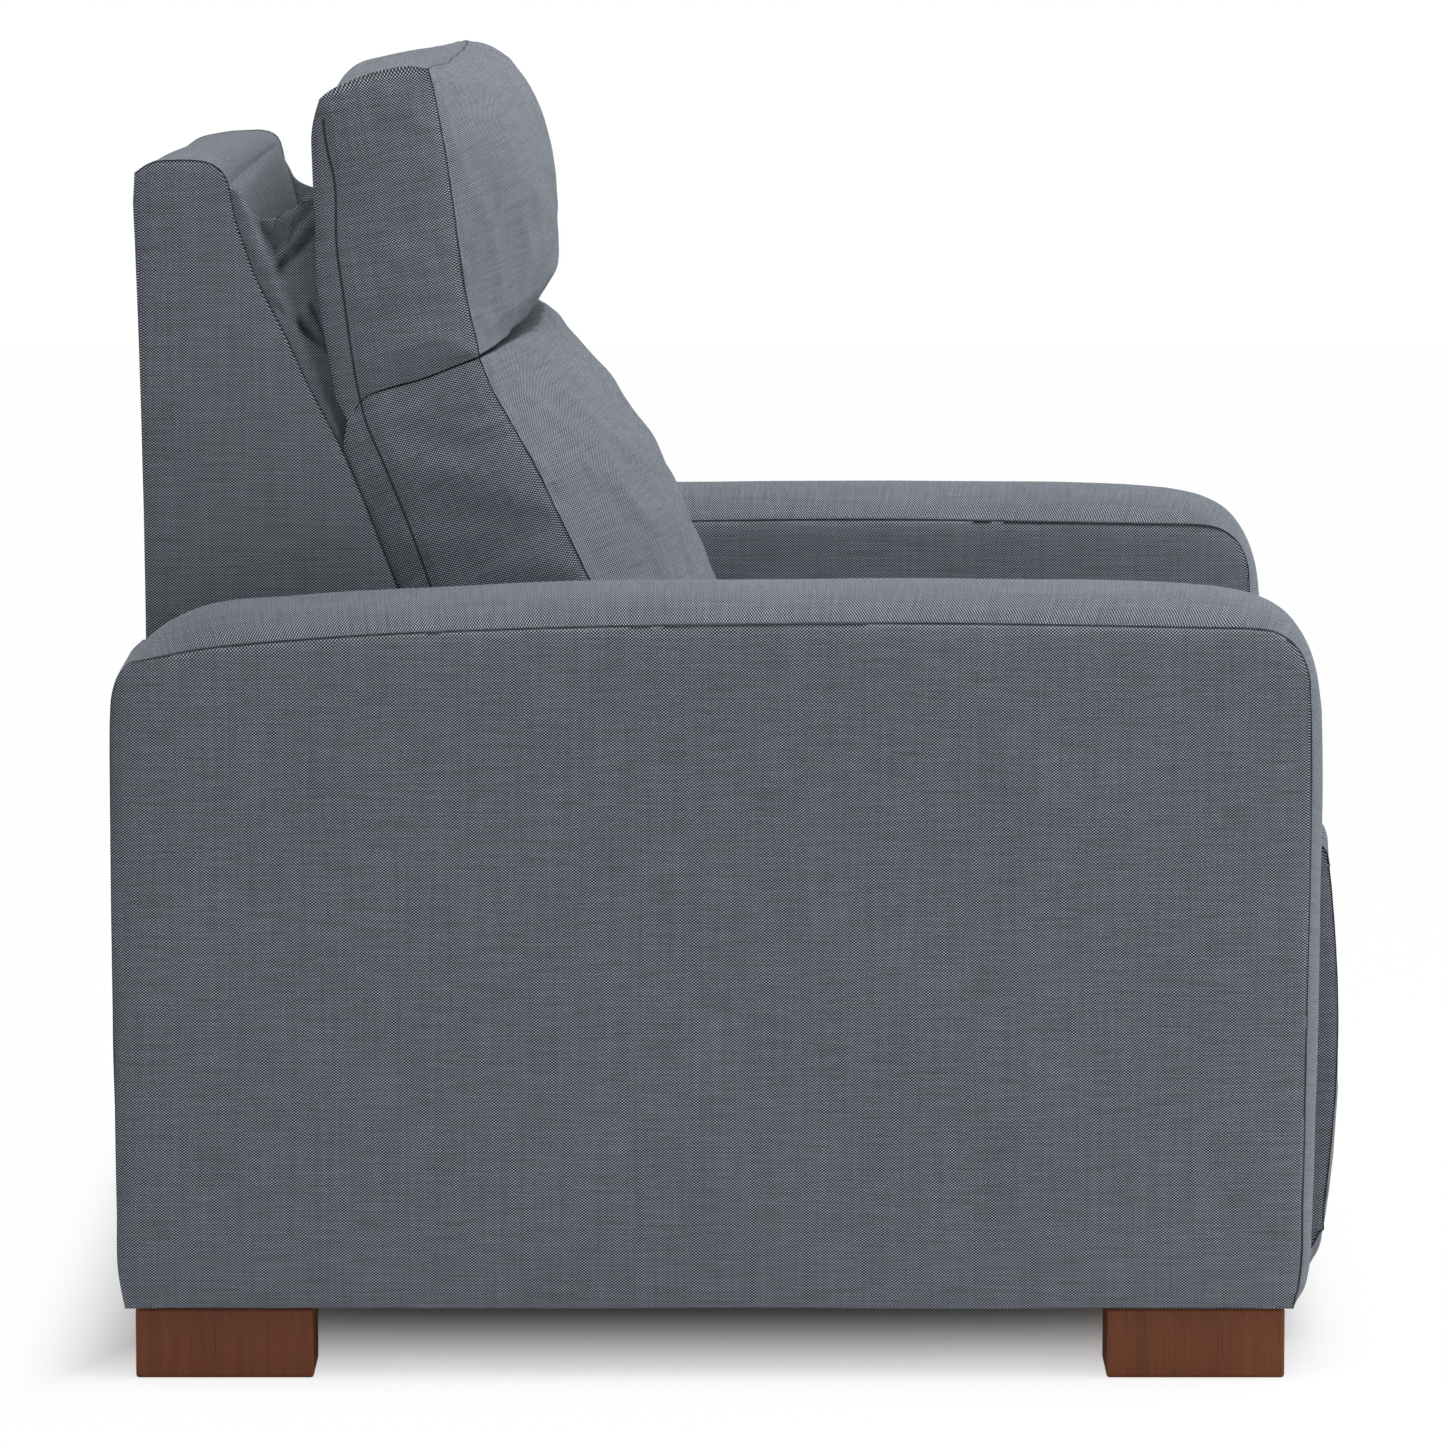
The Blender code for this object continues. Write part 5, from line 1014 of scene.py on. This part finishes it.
def make_footrest(cloth):
    """The footrest's padded front, soft all round."""
    rear = [(-0.4412, 0.056), (-0.4408, 0.12), (-0.4408, 0.38)]
    top = [(-0.4412, 0.44), (-0.447, 0.443), (-0.456, 0.4435)]
    front = [
        (-0.466, 0.44), (-0.475, 0.433), (-0.481, 0.398), (-0.4865, 0.348), (-0.4895, 0.28),
        (-0.4895, 0.229), (-0.4855, 0.17), (-0.4805, 0.119), (-0.4755, 0.077),
    ]
    foot = [(-0.467, 0.06), (-0.458, 0.055), (-0.448, 0.0525)]
    top_mid = [(-0.4412, 0.44), (-0.45, 0.4438), (-0.464, 0.443)]
    front_mid = [
        (-0.475, 0.439), (-0.482, 0.428), (-0.4875, 0.4), (-0.495, 0.335), (-0.4995, 0.262), (-0.4985, 0.2),
        (-0.496, 0.14), (-0.489, 0.092), (-0.483, 0.07),
    ]
    foot_mid = [(-0.475, 0.058), (-0.466, 0.0535), (-0.452, 0.0525)]
    edge, middle = chained(rear, top, front, foot), chained(rear, top_mid, front_mid, foot_mid)
    half = SEAT_HALF
    cover = pillow("footrest_pillow", edge, middle, (58, 8), power=3.0, pad=0.0012, grade=0.35, half=half)
    held = cover.hold(REAR, TOP, FRONT, FOOT)
    x, y, _ = cover.points.T
    held[(y > -0.462) | (np.abs(x) > SEAT_HALF - 0.001)] = 1.0
    settle(cover, held, slack=0.016, pressure=1.6)
    for end in FOOTREST_ENDS:
        round_corners(cover, axis=2, end=end, radius=FOOTREST_RADIUS)
    cover.press_edges(0.0018, TOP, FRONT, FOOT)
    undulate(cover, scale=(0.12, 0.12, 0.12), height=0.0022, seed=71)
    undulate(cover, scale=SLACK_WAVES, height=0.0004, seed=73)
    seams = cover.seams(TOP, FRONT, FOOT)
    pucker(cover, seams, size=0.0018, wave=0.022, reach=0.016, seed=75)
    return finish_cover(cover, "footrest", "footrest_pad", cloth, seams)


def make_rear_panel(cloth):
    """The cloth panel below the back, flat round the power inlet."""
    front_y, rear_y = REAR_PANEL_Y
    edge_y = rear_y - 0.001
    edge = chained(
        [(edge_y, 0.059), (rear_y, 0.066), (rear_y, 0.2), (rear_y, 0.338)],
        [(edge_y, 0.344), (rear_y - 0.005, 0.3455), (front_y + 0.003, 0.3455)],
        [(front_y, 0.344), (front_y, 0.2)],
        [(front_y, 0.059), (front_y + 0.003, 0.0585), (rear_y - 0.004, 0.0585)],
    )
    size = {"across": 70, "half": REAR_PANEL_HALF}
    cover = pillow("rear_panel_cover", edge, edge, (36, 4), power=6.0, pad=0.0002, grade=0.3, **size)
    x, y, z = cover.points.T
    bulge = 0.0014 * ripple(cover.points, (0.18, 0.1, 0.09), 81) * (y > 0.505)
    hug = np.clip(np.hypot(x - INLET_AT[0], z - INLET_AT[1]) / INLET_MARGIN - 0.6, 0, 1)
    cover.points[:, 1] += bulge * hug
    return finish_cover(cover, "base", "rear_panel", cloth, [])


def fold_depth(y, z, line, width, depth):
    """How far a crease along a line of (y, z) points pulls the cloth inward."""
    course = smooth_line(line, 40)
    away = np.min(np.hypot(y[..., None] - course[:, 0], z[..., None] - course[:, 1]), axis=-1)
    return depth * np.exp(-((away / width) ** 1.5))


def gusset_web(hem):
    """One side of the gusset as grids of y, z and x, drawn inward except where a board is behind it."""
    foot = smooth_line(GUSSET_FOOT, GUSSET_COLUMNS)
    rear, front = smooth_line(GUSSET_REAR, GUSSET_ROWS), smooth_line(GUSSET_FRONT, GUSSET_ROWS)
    web = coons(foot, hem, rear, front)
    y, z = web[..., 0], web[..., 1]
    share = np.linspace(0.0, 1.0, GUSSET_COLUMNS + 1)[None, :] * np.ones_like(y)
    slack = np.sin(math.pi * share) ** 0.7
    width = np.hypot(*(rear - front).T)[:, None]
    roomy = np.clip((width - 0.018) / 0.04, 0.05, 1)
    free = eased(np.clip((0.285 + BACK_LEAN * (z - 0.631) - y) / 0.009, 0, 1))
    flat_web = np.column_stack([y.ravel(), z.ravel(), share.ravel()])
    fine = ripple(flat_web, (0.016, 0.011, 0.5), 91).reshape(y.shape)
    folds = sum(fold_depth(y, z, *fold) for fold in GUSSET_FOLDS) * np.sin(math.pi * share) ** 0.35
    folds = folds * ramp(z, 0.765, 0.04)
    loose = slack * roomy * (0.0115 - 0.0040 * fine) + folds
    backed = slack * roomy * (-0.0010 + 0.0016 * fine) + 0.2 * folds
    inward = free * np.clip(loose, -0.004, 0.031) + (1 - free) * np.clip(backed, -0.007, 0.002)
    return y, z, GUSSET_HALF - inward


def gusset_trough(hem, half):
    """The gusset's sagging middle, as rows of points and of places on the flat cloth."""
    trough = smooth_line(GUSSET_TROUGH, GUSSET_COLUMNS)
    belly = np.sin(math.pi * np.linspace(0, 1, GUSSET_COLUMNS + 1))
    rows, places = [], []
    for u in np.linspace(0.0, 1.0, GUSSET_ACROSS + 1)[1:-1]:
        from_side = min(u, 1 - u) * 2 * GUSSET_HALF
        drop = eased(ramp(from_side, 0.0, 0.03))
        line = hem + (trough - hem) * drop
        x = -half + 2 * half * u
        at = np.column_stack([x, line])
        wave = ripple(at, (0.045, 0.1, 0.1), 93)
        tuft = ripple(at, (0.016, 0.05, 0.05), 94)
        lift = belly * (0.0045 * wave + 0.0026 * tuft) * drop
        rows.append(np.column_stack([x, line[:, 0] - 0.4 * lift, line[:, 1] + lift]))
        places.append(np.column_stack([x, lengths(line) + 0.2]))
    return np.array(rows), np.array(places)


def gusset_sheet(cloth):
    """Gathered cloth behind the headrest: a creased side, a sagging middle and the other side."""
    hem = smooth_line(GUSSET_HEM, GUSSET_COLUMNS)
    y, z, x = gusset_web(hem)
    middle, middle_cloth = gusset_trough(hem, x[-1])
    right, left = (np.stack([side * x, y, z], axis=2) for side in (-1, 1))
    right_cloth, left_cloth = (np.stack([side * 1.1 * y, 1.1 * z], axis=2) for side in (-1, 1))
    points = np.concatenate([right, middle, left[::-1]]).reshape(-1, 3)
    flat = np.concatenate([right_cloth, middle_cloth, left_cloth[::-1]]).reshape(-1, 2)
    row = GUSSET_COLUMNS + 1
    first = [start + j for start in range(0, len(points) - row, row) for j in range(GUSSET_COLUMNS)]
    quads = np.array([(k, k + 1, k + row + 1, k + row) for k in first])
    sink_far_hem(points)
    plain = np.full(len(points), 1.0)
    obj = make_mesh("gusset_sheet", points, quads, flat[quads], {"seam": plain, "band": plain}, cloth)
    skin = obj.modifiers.new("thickness", "SOLIDIFY")
    skin.thickness = GUSSET_THICKNESS
    skin.offset = 0.0
    fix_shape(obj)
    return obj


def make_gusset(cloth):
    """The sheet between the outer back and the head cushion, in place of the CAD gusset."""
    gusset = gusset_sheet(cloth)
    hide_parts("headrest_gusset")
    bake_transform(gusset)
    return gusset


# The works, feet and panels that come from the CAD


def dress_nodes(finishes):
    """Gives each CAD node the finish of its material slot, if there is one."""
    slots = {part["node"]: part["material_slot"] for part in frame["record"]["subparts"]}
    for name, obj in frame["nodes"].items():
        chosen = finishes.get(slots[name])
        if chosen is None:
            continue
        obj.data.materials.clear()
        obj.data.materials.append(chosen)


# Room


def make_floor():
    """A floor that shades gently under the recliner and is plain white to the camera farther out."""
    f = Finish("studio_floor")
    x, y, _ = f.place()
    beside = ((x.math("ABSOLUTE") - 0.14) / 0.43).clip()
    beyond = (((y - 0.03).math("ABSOLUTE") - 0.42) / 0.16).clip()
    reach_out = beside.math("MAXIMUM", beyond)
    fade = reach_out * reach_out * (3.0 - 2.0 * reach_out) * 0.96 + 0.02
    matt = f.node("ShaderNodeBsdfDiffuse", {"Color": (0.93, 0.93, 0.93, 1.0)})
    glow = f.node("ShaderNodeEmission", {"Color": WHITE, "Strength": 1.0})
    camera_ray = f.node("ShaderNodeLightPath", out="Is Camera Ray")
    f.output(f.node("ShaderNodeMixShader", {0: fade * camera_ray, 1: matt, 2: glow}))
    corners = [(x_sign * FLOOR_REACH, y_sign * FLOOR_REACH, 0) for x_sign, y_sign in QUARTERS]
    mesh = bpy.data.meshes.new("floor")
    mesh.from_pydata(corners, [], [(0, 1, 2, 3)])
    floor = put(bpy.data.objects.new("floor", mesh))
    floor.data.materials.append(f.owner)


def make_room():
    """Floor, two soft boxes, and a surround that is white to the camera and dimmer as a light."""
    make_floor()
    f = Finish("studio", world=True)
    camera_ray = f.node("ShaderNodeLightPath", out="Is Camera Ray")
    glossy_ray = f.node("ShaderNodeLightPath", out="Is Glossy Ray")
    lit = f.node("ShaderNodeBackground", {"Color": (0.97, 0.985, 1.0, 1), "Strength": 0.40})
    seen = f.node("ShaderNodeBackground", {"Color": WHITE, "Strength": 1.0})
    shows = camera_ray.math("MAXIMUM", glossy_ray)
    f.output(f.node("ShaderNodeMixShader", {0: shows, 1: lit, 2: seen}), "ShaderNodeOutputWorld")
    bpy.context.scene.world = f.owner
    lamp("top_softbox", (-0.6, -0.9, 3.4), target=(0.0, 0.0, 0.4), size=3.0, power=118)
    lamp("front_softbox", (-0.8, -3.8, 1.8), target=(0.0, 0.1, 0.5), size=2.4, power=33)


def lamp(name, place, target, size, power):
    """A square soft box that looks from a place to a target."""
    data = bpy.data.lights.new(name, "AREA")
    data.shape = "SQUARE"
    data.size = size
    data.energy = power
    obj = put(bpy.data.objects.new(name, data))
    obj.location = place
    aim = Vector(target) - Vector(place)
    obj.rotation_euler = aim.to_track_quat("-Z", "Y").to_euler()


def make_camera():
    """The photograph's camera, as fitted to it."""
    data = bpy.data.cameras.new("camera")
    data.lens = CAMERA_LENS
    data.sensor_width = SENSOR_WIDTH
    camera = put(bpy.data.objects.new("camera", data))
    camera.location = CAMERA_AT
    camera.rotation_euler = (math.pi / 2 - CAMERA_PITCH, 0.0, -math.pi / 2)
    bpy.context.scene.camera = camera


def main():
    make_camera()
    make_room()
    bpy.context.scene.view_settings.view_transform = "Standard"
    cloth = tweed_finish()
    finishes = {
        "walnut": walnut_finish(),
        "plywood": plywood_finish(),
        "zinc": metal_finish("zinc_plate", "c9cccf", "a9adb2", 0.34, metal=1.0, speckle=900.0),
        "black_steel": metal_finish("powder_coat", "1c1d1f", "101113", 0.45, metal=0.0, speckle=1500.0),
        "plastic": plastic_finish(),
        "webbing": webbing_finish(),
    }
    dress_nodes(finishes)
    for side_name, side in (("left", 1), ("right", -1)):
        make_arm(side_name, side, cloth)
    outer = make_outer_back(cloth)
    pillow = make_headrest(cloth)
    make_lumbar(cloth)
    make_seat(cloth)
    make_footrest(cloth)
    make_rear_panel(cloth)
    make_gusset(cloth)


main()
